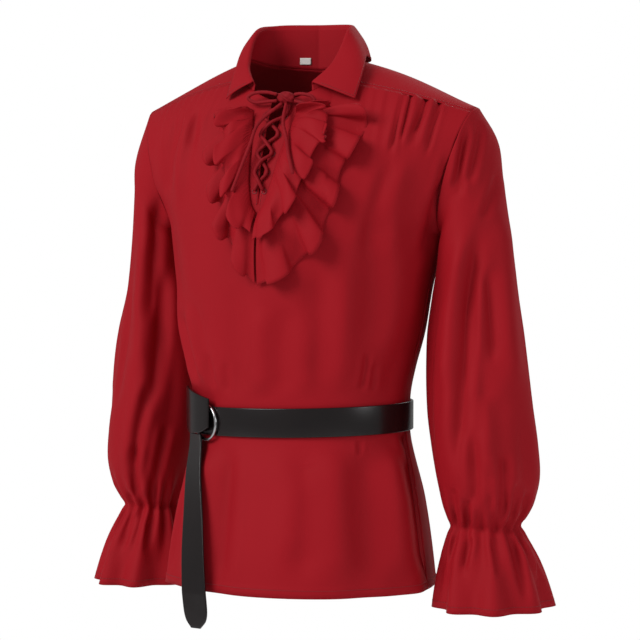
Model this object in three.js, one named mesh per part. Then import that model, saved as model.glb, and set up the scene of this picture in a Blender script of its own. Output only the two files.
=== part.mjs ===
// A gathered medieval shirt, filled out as it is worn, with its ring belt.
// Millimetres, +Z up. The front faces -Y, the wearer's left is +X, and the origin is the middle of the neck.

import * as THREE from 'three';
import { mergeVertices } from 'three/addons/utils/BufferGeometryUtils.js';

// Cloth, seams and leather
const CLOTH = 1.5;
const FRILL_CLOTH = 1.2;
const SEAM = 0.3;
const LEATHER = 3.5;

// Heights of the levels that the pieces share
const HEM = -682;
const UNDERARM = -215;
const SLIT_FOOT = -175;
const SLIT_TOP_HALF_GAP = 11;
const SLIT_BEND = 1.2;

// Belt
const BELT_MIDDLE = -459;
const BELT_HALF_HEIGHT = 19;
const BELT_FLAT_LOW = -484;
const BELT_FLAT_HIGH = -434;
const BELT_TILT = 0.03;

// Lace
const LACE_DIAMETER = 4.6;
const LACE_SIDES = 8;
const LACE_STEPS = { run: 24, loop: 18, end: 14 };

// Mesh steps
const PANEL_COLUMNS = 12;
const WRIST_GATHERS = 16;
const COLUMNS_PER_GATHER = 4;
const COLUMNS_PER_PLEAT = 3;
const COLUMNS_PER_LOBE = 7;
const FRILL_FLUTES = 8;
const SLEEVE_PARTS = 2;
const KNOT_STEPS = { round: 12, tall: 8 };
const RING_STEPS = { wire: 8, round: 28 };

// Sections of the body, from the hem to the underarm: half width, reach to front and back, side seam's y.
const BODY = [
  { z: HEM, wide: 182, front: 150, back: 142, side: 5, tilt: 0 },
  { z: -640, wide: 178, front: 146, back: 138, side: 5, tilt: 0 },
  { z: -590, wide: 172, front: 138, back: 131, side: 5, tilt: 0 },
  { z: -535, wide: 163, front: 126, back: 120, side: 5, tilt: 0.015 },
  { z: BELT_FLAT_LOW, wide: 152, front: 113, back: 108, side: 5, tilt: BELT_TILT },
  { z: BELT_FLAT_HIGH, wide: 152, front: 113, back: 108, side: 5, tilt: BELT_TILT },
  { z: -395, wide: 158, front: 118, back: 114, side: 8, tilt: 0.015 },
  { z: -345, wide: 170, front: 124, back: 121, side: 12, tilt: 0 },
  { z: -285, wide: 179, front: 128, back: 125, side: 18, tilt: 0 },
  { z: UNDERARM, wide: 192, front: 129, back: 126, side: 32, tilt: 0 },
];

// Neck seam, by the angle from the centre back to the centre front.
const NECK_SIDE = 79;
const NECK_BACK = 62;
const NECK = [
  { angle: 0, x: 0, y: NECK_BACK, z: 0 },
  { angle: 45, x: 57, y: 46, z: 5 },
  { angle: 90, x: NECK_SIDE, y: 4, z: 12 },
  { angle: 125, x: 66, y: -33, z: -14 },
  { angle: 145, x: 46, y: -50, z: -26 },
  { angle: 165, x: 22, y: -59, z: -37 },
  { angle: 180, x: 0, y: -63, z: -44 },
];
const YOKE_NECK_ANGLE = 125;
const SLIT_TOP_ANGLE = 172;

// Centre front from the underarm level to the neck.
const CHEST = [
  { z: UNDERARM, y: -129 },
  { z: SLIT_FOOT, y: -126 },
  { z: -130, y: -113 },
  { z: -90, y: -92 },
  { z: -41, y: -61.6 },
];

// Armhole: an oval that leans out at the top. Angle 0 is its top, 90 its front and -90 its back.
const ARMHOLE = { x: 220, y: 32, z: -132.5, lean: 28, height: 82.5, depth: 50, forward: 20 };
const ARMHOLE_FRONT_SEAM = 20;

// The right shoulder, and the outer side of its sleeve, are drawn in, down and back from the left ones.
const RIGHT_SHOULDER = { in: 25, down: 4 };
const RIGHT_WRIST = { in: 16, back: 18 };
const ARMHOLE_BACK_SEAM = -65;

// Back yoke seam at the centre, and the share of the yoke's rim that it takes.
const BACK_YOKE = { y: 119, z: -95 };
const BACK_SEAM_SHARE = 0.45;

// Ways that the cloth faces along its seams
const FRONT_YOKE_WAY = { x: 0.15, y: -0.78, z: 0.6 };
const BACK_YOKE_WAY = { x: 0.6, y: 0.9, z: 0.42 };
const ARMHOLE_WAY = { radial: 0.8, out: 0.6 };

// How far the yoke stands proud of straight lines from neck to rim, from the centre back to the front seam.
const YOKE_FULLNESS = [
  { share: 0, y: 10, z: 10 },
  { share: 0.45, y: 10, z: 14 },
  { share: 0.8, y: 0, z: 6 },
  { share: 1, y: -7, z: 4 },
];

// Where the front's columns run into the yoke seam, and where its gathers lie.
const NECK_COLUMN_SHARE = 0.36;
const SLIT_CORNER_SHARE = 0.75;
const GATHERS = { from: 0.44, to: 0.92, count: 6, depth: 3.2, reach: 0.42 };
const BACK_GATHERS = { from: 0.1, to: 0.82, count: 5, depth: 3, reach: 0.5 };

// How a fold opens from its lower end and dies out towards its upper one.
const FOLD_OPEN = 0.25;
const FOLD_CLOSE = 0.55;

// Largest folds of the body: the angle from centre front at the lower end, its drift to the upper end,
// half breadth in degrees, lower and upper ends, and depth (ridges are positive).
const BODY_FOLDS = [
  { angle: 22, drift: 4, breadth: 7, low: -434, high: -290, depth: 3.5 },
  { angle: 18, drift: 5, breadth: 8, low: -640, high: -484, depth: 5 },
  { angle: 70, drift: 8, breadth: 9, low: -434, high: -300, depth: -5 },
  { angle: 50, drift: -6, breadth: 9, low: HEM, high: -484, depth: -5 },
  { angle: 78, drift: -4, breadth: 8, low: HEM, high: -484, depth: 7 },
  { angle: -52, drift: -16, breadth: 8, low: -434, high: -280, depth: 5 },
  { angle: -70, drift: -10, breadth: 8, low: -434, high: -300, depth: -5 },
  { angle: -58, drift: 14, breadth: 9, low: HEM, high: -484, depth: 7 },
  { angle: -80, drift: 8, breadth: 8, low: HEM, high: -484, depth: -6 },
  { angle: -18, drift: 2, breadth: 9, low: HEM, high: -500, depth: -4 },
  { angle: 118, drift: 6, breadth: 9, low: HEM, high: -484, depth: 7 },
  { angle: 150, drift: 4, breadth: 10, low: HEM, high: -484, depth: -6 },
  { angle: -128, drift: -6, breadth: 9, low: HEM, high: -484, depth: 7 },
  { angle: -160, drift: -4, breadth: 10, low: HEM, high: -484, depth: -6 },
  { angle: 125, drift: 8, breadth: 9, low: -434, high: -250, depth: 6 },
  { angle: 155, drift: 4, breadth: 9, low: -434, high: -270, depth: -5 },
  { angle: -120, drift: -8, breadth: 9, low: -434, high: -250, depth: 6 },
  { angle: -150, drift: -4, breadth: 9, low: -434, high: -270, depth: -5 },
];

// Sleeve rings from the armhole to the frill's edge: centre, half sizes, and tilt of the outer side up.
const SLEEVE = [
  { run: 0.1, x: 231, y: 31, z: -156, tilt: 62, wide: 73, deep: 52 },
  { run: 0.18, x: 232, y: 32, z: -188, tilt: 51, wide: 63.5, deep: 54 },
  { run: 0.27, x: 235, y: 33, z: -238, tilt: 31, wide: 55, deep: 57 },
  { run: 0.37, x: 237, y: 34, z: -294, tilt: 8, wide: 57, deep: 60 },
  { run: 0.46, x: 239, y: 34, z: -350, tilt: 2, wide: 65, deep: 66 },
  { run: 0.6, x: 245, y: 33, z: -438, tilt: 0, wide: 70.5, deep: 72 },
  { run: 0.7, x: 252, y: 32, z: -490, tilt: 0, wide: 71, deep: 73 },
  { run: 0.78, x: 258, y: 31, z: -535, tilt: 0, wide: 67, deep: 69 },
  { run: 0.84, x: 258, y: 30, z: -566, tilt: 0, wide: 58, deep: 59 },
  { run: 0.88, x: 256, y: 30, z: -586, tilt: 0, wide: 48, deep: 49 },
  { run: 0.9, x: 255, y: 30, z: -596, tilt: 0, wide: 43, deep: 44 },
  { run: 0.92, x: 256, y: 30, z: -606, tilt: 0, wide: 48, deep: 49 },
  { run: 0.96, x: 261, y: 31, z: -645, tilt: 0, wide: 62, deep: 66 },
  { run: 1, x: 266, y: 32, z: -702, tilt: 0, wide: 73, deep: 84 },
];
const FIRST_GATHERED_RING = 7;
const ELASTIC = -596;
const GATHER_DEPTH = 3.2;
const GATHER_REACH = { from: 8, to: 62 };
const FLUTE_DEPTH = 7;
const FLUTE_REACH = { from: 8, to: 100 };
// Runs of the sleeve between which the armhole's corners spread out to even ones.
const SPREAD_RUNS = { from: 0.1, to: 0.6 };
const RIGHT_FOLD_TURN = 9;
// Run from which the right sleeve hangs straight down.
const RIGHT_ARM_STRAIGHT = 0.8;

// Largest folds of a sleeve: angle round it from the outer side towards the front, ends, and depth.
const SLEEVE_FOLDS = [
  { angle: 150, drift: -25, breadth: 14, low: -540, high: -215, depth: -6 },
  { angle: 105, drift: -10, breadth: 13, low: -560, high: -330, depth: 5 },
  { angle: 60, drift: 10, breadth: 13, low: -480, high: -235, depth: -6 },
  { angle: 20, drift: 0, breadth: 13, low: -575, high: -430, depth: -5 },
  { angle: -40, drift: 12, breadth: 15, low: -540, high: -260, depth: -6 },
  { angle: -95, drift: -12, breadth: 14, low: -560, high: -320, depth: 5 },
  { angle: -140, drift: 10, breadth: 14, low: -520, high: -240, depth: -6 },
];

// Collar: height and lean of the fold line over the neck seam, and the leaf's outer edge, by the neck angle.
const COLLAR = [
  { angle: 0, rise: 57, lean: 1, leftX: 0, rightX: 0, edgeY: 84, edgeZ: 6 },
  { angle: 45, rise: 51, lean: -6, leftX: 73, rightX: 70, edgeY: 60, edgeZ: 10 },
  { angle: 90, rise: 35, lean: -14, leftX: 95, rightX: 86, edgeY: 4, edgeZ: 17 },
  { angle: 118, rise: 24, lean: -9, leftX: 105, rightX: 82, edgeY: -30, edgeZ: -4 },
  { angle: 148.5, rise: 9, lean: -1, leftX: 106, rightX: 81, edgeY: -57, edgeZ: -38 },
];
const STAND_LEVELS = [0, 0.5, 1];
const LEAF_SHARES = [0, 0.04, 0.35, 0.7, 1];
const LEAF = { foldIn: 0.5, foldUp: 3.1, out: 5, up: 2.5, fullness: 4 };

// Ruffles: where each strip is sewn on, across and up, how far its hem stands off the front, the mean line of
// the hem, and the hem's lobes by their place along it and their height.
const OUTER_SEWN = [[34, -54], [28, -82], [23, -115], [18, -150], [12, -180], [6, -194], [1.5, -198]];
const INNER_SEWN = [[31, -58], [26, -84], [21, -114], [16, -146], [10, -174], [2, -186]];
const RUFFLES = [
  {
    name: 'ruffle_left_outer', side: 1, lift: 0.8, rise: 12, sewn: OUTER_SEWN,
    hem: [
      [46, -52], [84, -53], [118, -60], [130, -76], [121, -94], [112, -114], [104, -138], [97, -168],
      [89, -200], [76, -230], [52, -255], [26, -271], [1.5, -279],
    ],
    lobes: [[0.05, 6], [0.2, 11], [0.36, 8], [0.54, 11], [0.72, 9], [0.9, 8]],
  },
  {
    name: 'ruffle_left_inner', side: 1, lift: 1.9, rise: 24, sewn: INNER_SEWN,
    hem: [
      [40, -60], [64, -61], [80, -72], [78, -92], [70, -116], [62, -140], [54, -166], [42, -188],
      [26, -206], [10, -216], [1.5, -219],
    ],
    lobes: [[0.08, 5], [0.3, 8], [0.5, 6], [0.7, 8], [0.9, 7]],
  },
  {
    name: 'ruffle_right_outer', side: -1, lift: 0.8, rise: 12, sewn: OUTER_SEWN,
    hem: [
      [44, -54], [65, -62], [79, -82], [77, -104], [69, -128], [62, -160], [54, -190], [42, -218],
      [26, -246], [12, -267], [1.5, -277],
    ],
    lobes: [[0.1, 7], [0.32, 11], [0.5, 8], [0.68, 10], [0.88, 8]],
  },
  {
    name: 'ruffle_right_inner', side: -1, lift: 1.9, rise: 24, sewn: INNER_SEWN,
    hem: [
      [40, -61], [54, -70], [60, -87], [55, -108], [48, -130], [41, -152], [34, -174], [24, -192],
      [12, -205], [1.5, -211],
    ],
    lobes: [[0.12, 5], [0.4, 8], [0.62, 6], [0.85, 7]],
  },
];
const RUFFLE_ROWS = [0, 0.25, 0.5, 0.75, 1];
const RUFFLE_END = 0.04;
const RUFFLE_FULLNESS = 3;
const LOBE_OVERHANG = 2;
const LOBE_REACH = 4;
const LOBE_GROWTH = 1.3;
// How far the pleats lean down from their seam to the hem, and how they bow on the way.
const PLEAT_LEAN = 1.9;
const PLEAT_BOW = { depth: 4, count: 2.3 };

// Lacing: heights of the eyelets, how far they lie from the slit's edge, and the cord's lift off the cloth.
const LACE_LEVELS = [-62, -86, -110, -134, -158];
const EYELET_INSET = 6;
const LACE_LIFT = LACE_DIAMETER / 2 + 0.8;
const LACE_RUNS = [
  { name: 'lace_over', side: 1, crossing: LACE_LIFT + LACE_DIAMETER + SEAM, start: [5, -1.5, -8.6] },
  { name: 'lace_under', side: -1, crossing: LACE_LIFT, start: [-5, -1.5, -9.7] },
];

// Knot, and the loops and free ends of the lace by their offsets from it or their place on the front.
const KNOT = { x: 13, z: -42, out: 9.5, wide: 12, deep: 6.5, tall: 8 };
const BOW_LOOPS = [
  {
    name: 'bow_loop_left', side: 1,
    line: [[11.5, 4, 0.5], [24, 5, 3], [38, 2, 4], [43, -4, 4], [34, -8, 4], [22, -6, 3], [11.5, -4, 0.5]],
  },
  {
    name: 'bow_loop_right', side: -1,
    line: [[11.5, 4, 0.5], [26, 7, 3], [44, 6, 4], [53, 0, 4], [44, -6, 4], [26, -5, 3], [11.5, -4, 0.5]],
  },
];
const LACE_END_START = { x: 2.8, ahead: 5, up: -6.6 };
const LACE_ENDS = [
  { name: 'lace_end_left', side: 1, line: [[22, -76, 14], [33, -98, 15], [42, -120, 25], [50, -143, 31]] },
  { name: 'lace_end_right', side: -1, line: [[14, -78, 14], [18, -105, 14], [23, -135, 16], [27, -163, 22]] },
];

// Size label on the inside of the back of the collar
const LABEL = { wide: 15, thick: 1, tall: 9, x: -18, z: 12, angle: -14, gap: 1.2, turn: 10 };

// Ring and wrap of the belt: the end of the belt is turned down over the ring. The wrap's lower and upper
// edges are given by the angle round the body.
const STRAP_OUT = SEAM + LEATHER;
const RING = { angle: -36, radius: 23, wire: 2, drop: -2 };
const WRAP = [
  { angle: -31, low: -8, high: 30, out: 12.4 },
  { angle: -37, low: -15, high: 33, out: 12.8 },
  { angle: -44, low: -17, high: 37, out: 13.4 },
  { angle: -52, low: -17, high: 41, out: 12.4 },
  { angle: -60, low: -2, high: 43, out: 10 },
];
const WRAP_LEVELS = [0, 0.5, 1];

// The belt's hanging end: its middle line and the way its face turns, from the wrap down to the tip.
const TAIL = [
  { z: -479.9, angle: -44, out: 12, facing: -40, half: 17 },
  { z: -520, angle: -38.5, out: 12, facing: -36, half: 19 },
  { z: -580, angle: -31.5, out: 15, facing: -24, half: 19 },
  { z: -640, angle: -27.5, out: 17, facing: -14, half: 19 },
  { z: -700, angle: -25, out: 17, facing: -10, half: 19 },
  { z: -718, angle: -24.5, out: 17, facing: -10, half: 16 },
  { z: -729, angle: -24.5, out: 17, facing: -10, half: 7 },
];

// Fineness of what is found by steps: where points count as one, and the search for a place on the front
const SAME_POINT = 1000;
const WELD = 1e-4;
const SEARCH = { step: 0.01, turns: 12 };

// Colours
const MATERIALS = {
  red_cloth: { color: 0x96121f, roughness: 0.78, metalness: 0 },
  black_leather: { color: 0x17100f, roughness: 0.42, metalness: 0 },
  steel: { color: 0xb9b9ba, roughness: 0.25, metalness: 1 },
  white_label: { color: 0xe9e6e2, roughness: 0.8, metalness: 0 },
};

const group = new THREE.Group();
const degrees = THREE.MathUtils.degToRad;
const mix = THREE.MathUtils.lerp;
const step = THREE.MathUtils.smoothstep;
const vector = (x, y, z) => new THREE.Vector3(x, y, z);

// Reads one column of a table at a value of its key, along a smooth curve through the rows.
function read(table, key, column, value) {
  const last = table.length - 1;
  let row = 0;
  while (row < last - 1 && value > table[row + 1][key]) row += 1;
  const slope = (at) => {
    const low = table[Math.max(at - 1, 0)];
    const high = table[Math.min(at + 1, last)];
    return (high[column] - low[column]) / (high[key] - low[key]);
  };
  const span = table[row + 1][key] - table[row][key];
  const t = THREE.MathUtils.clamp((value - table[row][key]) / span, 0, 1);
  const a = table[row][column];
  const b = table[row + 1][column];
  const bend = t * (1 - t) * ((1 - t) * (slope(row) * span - (b - a)) - t * (slope(row + 1) * span - (b - a)));
  return mix(a, b, t) + bend;
}

// A soft ridge or trough that dies out at both ends of its height and both sides of its angle.
function foldDepth(folds, angle, z) {
  let sum = 0;
  for (const fold of folds) {
    const t = (z - fold.low) / (fold.high - fold.low);
    if (t < 0 || t > 1) continue;
    const turn = THREE.MathUtils.euclideanModulo(angle - fold.angle - fold.drift * t + 180, 360) - 180;
    const open = fold.low === HEM ? 1 : step(t, 0, FOLD_OPEN);
    sum += fold.depth * Math.exp(-((turn / fold.breadth) ** 2)) * open * (1 - step(t, FOLD_CLOSE, 1));
  }
  return sum;
}

// Makes faces between neighbouring rows of points. A row may have several points for each of the last one's.
function loft(rows, closed) {
  const points = rows.flat();
  const faces = [];
  let start = 0;
  for (let index = 0; index < rows.length - 1; index += 1) {
    const next = start + rows[index].length;
    const steps = rows[index].length - (closed ? 0 : 1);
    const fine = rows[index + 1].length - (closed ? 0 : 1);
    const ratio = fine / steps;
    for (let column = 0; column < steps; column += 1) {
      const a = start + column;
      const b = start + ((column + 1) % rows[index].length);
      const above = (k) => next + ((column * ratio + k) % rows[index + 1].length);
      const middle = Math.ceil(ratio / 2);
      for (let k = 0; k < ratio; k += 1) faces.push([k < middle ? a : b, above(k + 1), above(k)]);
      faces.push([a, b, above(middle)]);
    }
    start = next;
  }
  return { points, faces };
}

// Joins open sheets where their points coincide, to a thousandth of a millimetre.
function joinSheets(sheets) {
  const points = [];
  const faces = [];
  const seen = new Map();
  for (const sheet of sheets) {
    const index = sheet.points.map((point) => {
      const key = [point.x, point.y, point.z].map((value) => Math.round(value * SAME_POINT)).join();
      if (!seen.has(key)) {
        seen.set(key, points.length);
        points.push(point);
      }
      return seen.get(key);
    });
    for (const face of sheet.faces) faces.push(face.map((corner) => index[corner]));
  }
  return { points, faces };
}

const flipped = (sheet) => ({ points: sheet.points, faces: sheet.faces.map(([a, b, c]) => [a, c, b]) });

// Gives an open sheet its thickness, inwards from its outer face. A point on a seam may fix its own normal.
function wall(sheet, thickness) {
  const { points, faces } = sheet;
  const normals = points.map(() => vector(0, 0, 0));
  const edges = new Map();
  for (const [a, b, c] of faces) {
    const across = points[b].clone().sub(points[a]);
    const area = across.cross(points[c].clone().sub(points[a]));
    for (const corner of [a, b, c]) normals[corner].add(area);
    for (const [from, to] of [[a, b], [b, c], [c, a]]) edges.set(`${from},${to}`, [from, to]);
  }
  const inner = points.map((point, at) => {
    const normal = point.seamNormal ?? normals[at];
    return point.clone().addScaledVector(normal.clone().normalize(), -thickness);
  });
  const count = points.length;
  const index = [];
  for (const [a, b, c] of faces) index.push(a, b, c, a + count, c + count, b + count);
  for (const [from, to] of edges.values()) {
    if (edges.has(`${to},${from}`)) continue;
    index.push(to, from, from + count, to, from + count, to + count);
  }
  const geometry = new THREE.BufferGeometry();
  geometry.setFromPoints([...points, ...inner]);
  geometry.setIndex(index);
  return geometry;
}

// Draws a sewn row back from its seam towards the row inside it, and fixes its normals.
function sew(row, inside, seamNormal) {
  row.forEach((point, at) => {
    point.add(inside[at].clone().sub(point).setLength(SEAM / 2));
    point.seamNormal = seamNormal(point);
  });
}

const columnOf = (rows, at) => rows.map((row) => row.at(at));

function addPiece(name, geometry, material) {
  const mesh = new THREE.Mesh(geometry, new THREE.MeshStandardMaterial(MATERIALS[material]));
  geometry.computeVertexNormals();
  mesh.name = name;
  group.add(mesh);
}

// Body surface

// A point on the body below the underarm. Angle 0 is the centre front and 90 the left side seam.
function bodyPoint(angle, z, out = 0) {
  const wide = read(BODY, 'z', 'wide', z);
  const side = read(BODY, 'z', 'side', z);
  const cosine = Math.cos(degrees(angle));
  const reach = cosine > 0 ? read(BODY, 'z', 'front', z) + side : read(BODY, 'z', 'back', z) - side;
  const swell = foldDepth(BODY_FOLDS, angle, z) + out;
  const x = wide * Math.sin(degrees(angle));
  const radial = vector(x / wide ** 2, -cosine / reach, 0).normalize();
  return vector(x, side - reach * cosine, z + x * read(BODY, 'z', 'tilt', z)).addScaledVector(radial, swell);
}

// A point on the neck seam. Angle 0 is the centre back, and a negative angle is on the right.
function neckPoint(angle) {
  const turn = Math.abs(angle);
  const column = (name) => read(NECK, 'angle', name, turn);
  return vector(Math.sign(angle) * column('x'), column('y'), column('z'));
}

function armholePoint(side, angle) {
  const cosine = Math.cos(degrees(angle));
  const x = ARMHOLE.x + ARMHOLE.lean * cosine;
  const y = ARMHOLE.y - ARMHOLE.depth * Math.sin(degrees(angle)) - ARMHOLE.forward * (1 + cosine) / 2;
  const drawn = side < 0 ? (1 + cosine) / 2 : 0;
  const z = ARMHOLE.z + ARMHOLE.height * cosine - RIGHT_SHOULDER.down * drawn;
  return vector(side * (x - RIGHT_SHOULDER.in * drawn), y, z);
}

function backSeamPoint(side, share) {
  const corner = armholePoint(side, ARMHOLE_BACK_SEAM);
  const turn = degrees(90 * share);
  const y = mix(corner.y, BACK_YOKE.y, Math.cos(turn));
  return vector(corner.x * Math.sin(turn), y, mix(BACK_YOKE.z, corner.z, share));
}

// A point on the yoke: share 0 is the centre back and 1 the front seam, run 0 the neck and 1 the outer rim.
function yokePoint(side, share, run) {
  const rimShare = (share - BACK_SEAM_SHARE) / (1 - BACK_SEAM_SHARE);
  const rim = share < BACK_SEAM_SHARE
    ? backSeamPoint(side, share / BACK_SEAM_SHARE)
    : armholePoint(side, mix(ARMHOLE_BACK_SEAM, ARMHOLE_FRONT_SEAM, rimShare));
  const point = neckPoint(side * share * YOKE_NECK_ANGLE).lerp(rim, run);
  const swell = Math.sin(Math.PI * run);
  point.y += read(YOKE_FULLNESS, 'share', 'y', share) * swell;
  point.z += read(YOKE_FULLNESS, 'share', 'z', share) * swell;
  return point;
}

// A patch between four edges that meet at its corners.
function patch(bottom, top, centre, edge, u, v) {
  const point = bottom(u).multiplyScalar(1 - v).addScaledVector(top(u), v);
  point.addScaledVector(centre(v), 1 - u).addScaledVector(edge(v), u);
  point.addScaledVector(bottom(0), -(1 - u) * (1 - v)).addScaledVector(bottom(1), -u * (1 - v));
  return point.addScaledVector(top(0), -(1 - u) * v).addScaledVector(top(1), -u * v);
}

// Half of the slit's opening at a height of the centre front.
function slitHalfGap(z) {
  const t = THREE.MathUtils.clamp((z - SLIT_FOOT) / (neckPoint(SLIT_TOP_ANGLE).z - SLIT_FOOT), 0, 1);
  return SLIT_TOP_HALF_GAP * t ** SLIT_BEND;
}

function frontCentre(side, v) {
  const z = mix(UNDERARM, neckPoint(SLIT_TOP_ANGLE).z, v);
  return vector(side * slitHalfGap(z), read(CHEST, 'z', 'y', z), z);
}

function frontTop(side, u) {
  if (u < NECK_COLUMN_SHARE) {
    const angle = mix(SLIT_TOP_ANGLE, YOKE_NECK_ANGLE, u / NECK_COLUMN_SHARE);
    const point = neckPoint(side * angle);
    const pull = 1 - u / NECK_COLUMN_SHARE;
    return point.lerp(frontCentre(side, 1), step(pull, SLIT_CORNER_SHARE, 1));
  }
  return yokePoint(side, 1, (u - NECK_COLUMN_SHARE) / (1 - NECK_COLUMN_SHARE));
}

// The front above the underarm: u runs from the centre to the armhole, v from the underarm to the top.
function chestPoint(side, u, v) {
  const bottom = (at) => bodyPoint(side * at * 90, UNDERARM);
  const edge = (at) => armholePoint(side, mix(180, ARMHOLE_FRONT_SEAM, at));
  return patch(bottom, (at) => frontTop(side, at), (at) => frontCentre(side, at), edge, u, v);
}

function shoulderBladePoint(side, u, v) {
  const bottom = (at) => bodyPoint(side * (180 - at * 90), UNDERARM);
  const centre = (at) => bottom(0).lerp(vector(0, BACK_YOKE.y, BACK_YOKE.z), at);
  const edge = (at) => armholePoint(side, mix(-180, ARMHOLE_BACK_SEAM, at));
  return patch(bottom, (at) => backSeamPoint(side, at), centre, edge, u, v);
}

// Gathers die out below the seam that holds them.
function gatherDepth(gathers, u, v) {
  if (u < gathers.from || u > gathers.to) return 0;
  const wave = Math.cos(2 * Math.PI * gathers.count * (u - gathers.from) / (gathers.to - gathers.from));
  return gathers.depth * (0.5 - wave / 2) * step(v, 1 - gathers.reach, 1);
}

// Front and back panels

const SEAM_NORMALS = {
  side: (point) => vector(Math.sign(point.x), 0, 0),
  frontYoke: (point) => vector(Math.sign(point.x) * FRONT_YOKE_WAY.x, FRONT_YOKE_WAY.y, FRONT_YOKE_WAY.z),
  backYoke: (point) => vector(BACK_YOKE_WAY.x * point.x / ARMHOLE.x, BACK_YOKE_WAY.y, BACK_YOKE_WAY.z),
  neck: (point) => vector(point.x / NECK_SIDE, point.y / NECK_BACK, 1),
  armhole: (point) => {
    const side = Math.sign(point.x);
    const out = vector(side * ARMHOLE.height, 0, -ARMHOLE.lean).normalize();
    const radial = point.clone().sub(armholePoint(side, 0).add(armholePoint(side, 180)).divideScalar(2));
    radial.addScaledVector(out, -radial.dot(out));
    return radial.normalize().multiplyScalar(ARMHOLE_WAY.radial).addScaledVector(out, ARMHOLE_WAY.out);
  },
};

const evenly = (count) => Array.from({ length: count + 1 }, (_, at) => at / count);

// Columns of the front above the underarm: four to the end of the neck seam, then three for each gather.
const NECK_COLUMNS = 4;
const CHEST_COLUMNS = evenly(NECK_COLUMNS).map((share) => share * NECK_COLUMN_SHARE);
for (const share of evenly(COLUMNS_PER_PLEAT * GATHERS.count)) {
  CHEST_COLUMNS.push(mix(GATHERS.from, GATHERS.to, share));
}
CHEST_COLUMNS.push(1);
const SLIT_FOOT_SHARE = (SLIT_FOOT - UNDERARM) / (neckPoint(SLIT_TOP_ANGLE).z - UNDERARM);
const ABOVE_SLIT_FOOT = [0.38, 0.53, 0.69, 0.85, 1];
const CHEST_LEVELS = [SLIT_FOOT_SHARE / 2, SLIT_FOOT_SHARE, ...ABOVE_SLIT_FOOT];
const BLADE_LEVELS = evenly(5).slice(1);
const LOWER_LEVELS = BODY.map((section) => section.z);

// Steps of the yoke's rim, and with them the corners that the armhole seam has on every piece.
const BACK_SEAM_STEPS = [0, 0.12, 0.24, 0.35];
const SHOULDER_STEPS = evenly(4);
const ARMHOLE_ANGLES = [
  ...CHEST_LEVELS.toReversed().map((v) => mix(180, ARMHOLE_FRONT_SEAM, v)),
  180,
  ...BLADE_LEVELS.slice(0, -1).map((v) => 360 + mix(-180, ARMHOLE_BACK_SEAM, v)),
  ...SHOULDER_STEPS.slice(0, -1).map((share) => 360 + mix(ARMHOLE_BACK_SEAM, ARMHOLE_FRONT_SEAM, share)),
];

function panelHalf(side, lowerPoint, upperPoint, upperColumns, upperLevels, gathers) {
  const rows = LOWER_LEVELS.map((z) => evenly(PANEL_COLUMNS).map((u) => lowerPoint(side, u, z)));
  for (const v of upperLevels) {
    rows.push(upperColumns.map((u) => {
      const point = upperPoint(side, u, v);
      const outward = vector(point.x / ARMHOLE.x, point.y / BACK_YOKE.y, 0).normalize();
      return point.addScaledVector(outward, gatherDepth(gathers, u, v));
    }));
  }
  return rows;
}

function sewPanelHalf(rows, seamTop) {
  const lower = rows.slice(0, LOWER_LEVELS.length);
  const upper = rows.slice(LOWER_LEVELS.length);
  sew(rows.at(-1), rows.at(-2), seamTop);
  sew(columnOf(lower, -1), columnOf(lower, -2), SEAM_NORMALS.side);
  sew(columnOf(upper, -1), columnOf(upper, -2), SEAM_NORMALS.armhole);
}

const frontRim = (point) => {
  const onNeck = Math.abs(point.x) < neckPoint(YOKE_NECK_ANGLE).x + SEAM;
  return onNeck ? SEAM_NORMALS.neck(point) : SEAM_NORMALS.frontYoke(point);
};

function addFront() {
  const halves = [1, -1].map((side) => {
    const lower = (s, u, z) => bodyPoint(s * u * 90, z);
    const rows = panelHalf(side, lower, chestPoint, CHEST_COLUMNS, CHEST_LEVELS, GATHERS);
    sewPanelHalf(rows, frontRim);
    const sheet = loft(rows, false);
    return side > 0 ? sheet : flipped(sheet);
  });
  addPiece('front', wall(joinSheets(halves), CLOTH), 'red_cloth');
}

function addBack() {
  const halves = [1, -1].map((side) => {
    const lower = (s, u, z) => bodyPoint(s * (180 - u * 90), z);
    const columns = evenly(2 * PANEL_COLUMNS);
    const rows = panelHalf(side, lower, shoulderBladePoint, columns, BLADE_LEVELS, BACK_GATHERS);
    sewPanelHalf(rows, SEAM_NORMALS.backYoke);
    const sheet = loft(rows, false);
    return side > 0 ? flipped(sheet) : sheet;
  });
  addPiece('back', wall(joinSheets(halves), CLOTH), 'red_cloth');
}

// Yoke

const YOKE_SHARES = [...BACK_SEAM_STEPS, ...SHOULDER_STEPS.map((at) => mix(BACK_SEAM_SHARE, 1, at))];
const YOKE_RUNS = [0, 0.125, 0.3, 0.5, 0.75, 1];

function addYoke() {
  const right = YOKE_SHARES.slice(1).reverse().map((share) => [-1, share]);
  const left = YOKE_SHARES.map((share) => [1, share]);
  const columns = [...right, ...left];
  const rows = YOKE_RUNS.map((run) => columns.map(([side, share]) => yokePoint(side, share, run)));
  const isBackSeam = ([, share]) => share < BACK_SEAM_SHARE;
  for (const [edge, inside] of [[0, 1], [-1, -2]]) {
    sew(columnOf(rows, edge), columnOf(rows, inside), SEAM_NORMALS.frontYoke);
  }
  sew(rows[0], rows[1], SEAM_NORMALS.neck);
  rows.at(-1).forEach((point, at) => {
    const normal = isBackSeam(columns[at]) ? SEAM_NORMALS.backYoke : SEAM_NORMALS.armhole;
    sew([point], [rows.at(-2)[at]], normal);
  });
  addPiece('yoke', wall(loft(rows, false), CLOTH), 'red_cloth');
}

// Sleeves

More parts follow.
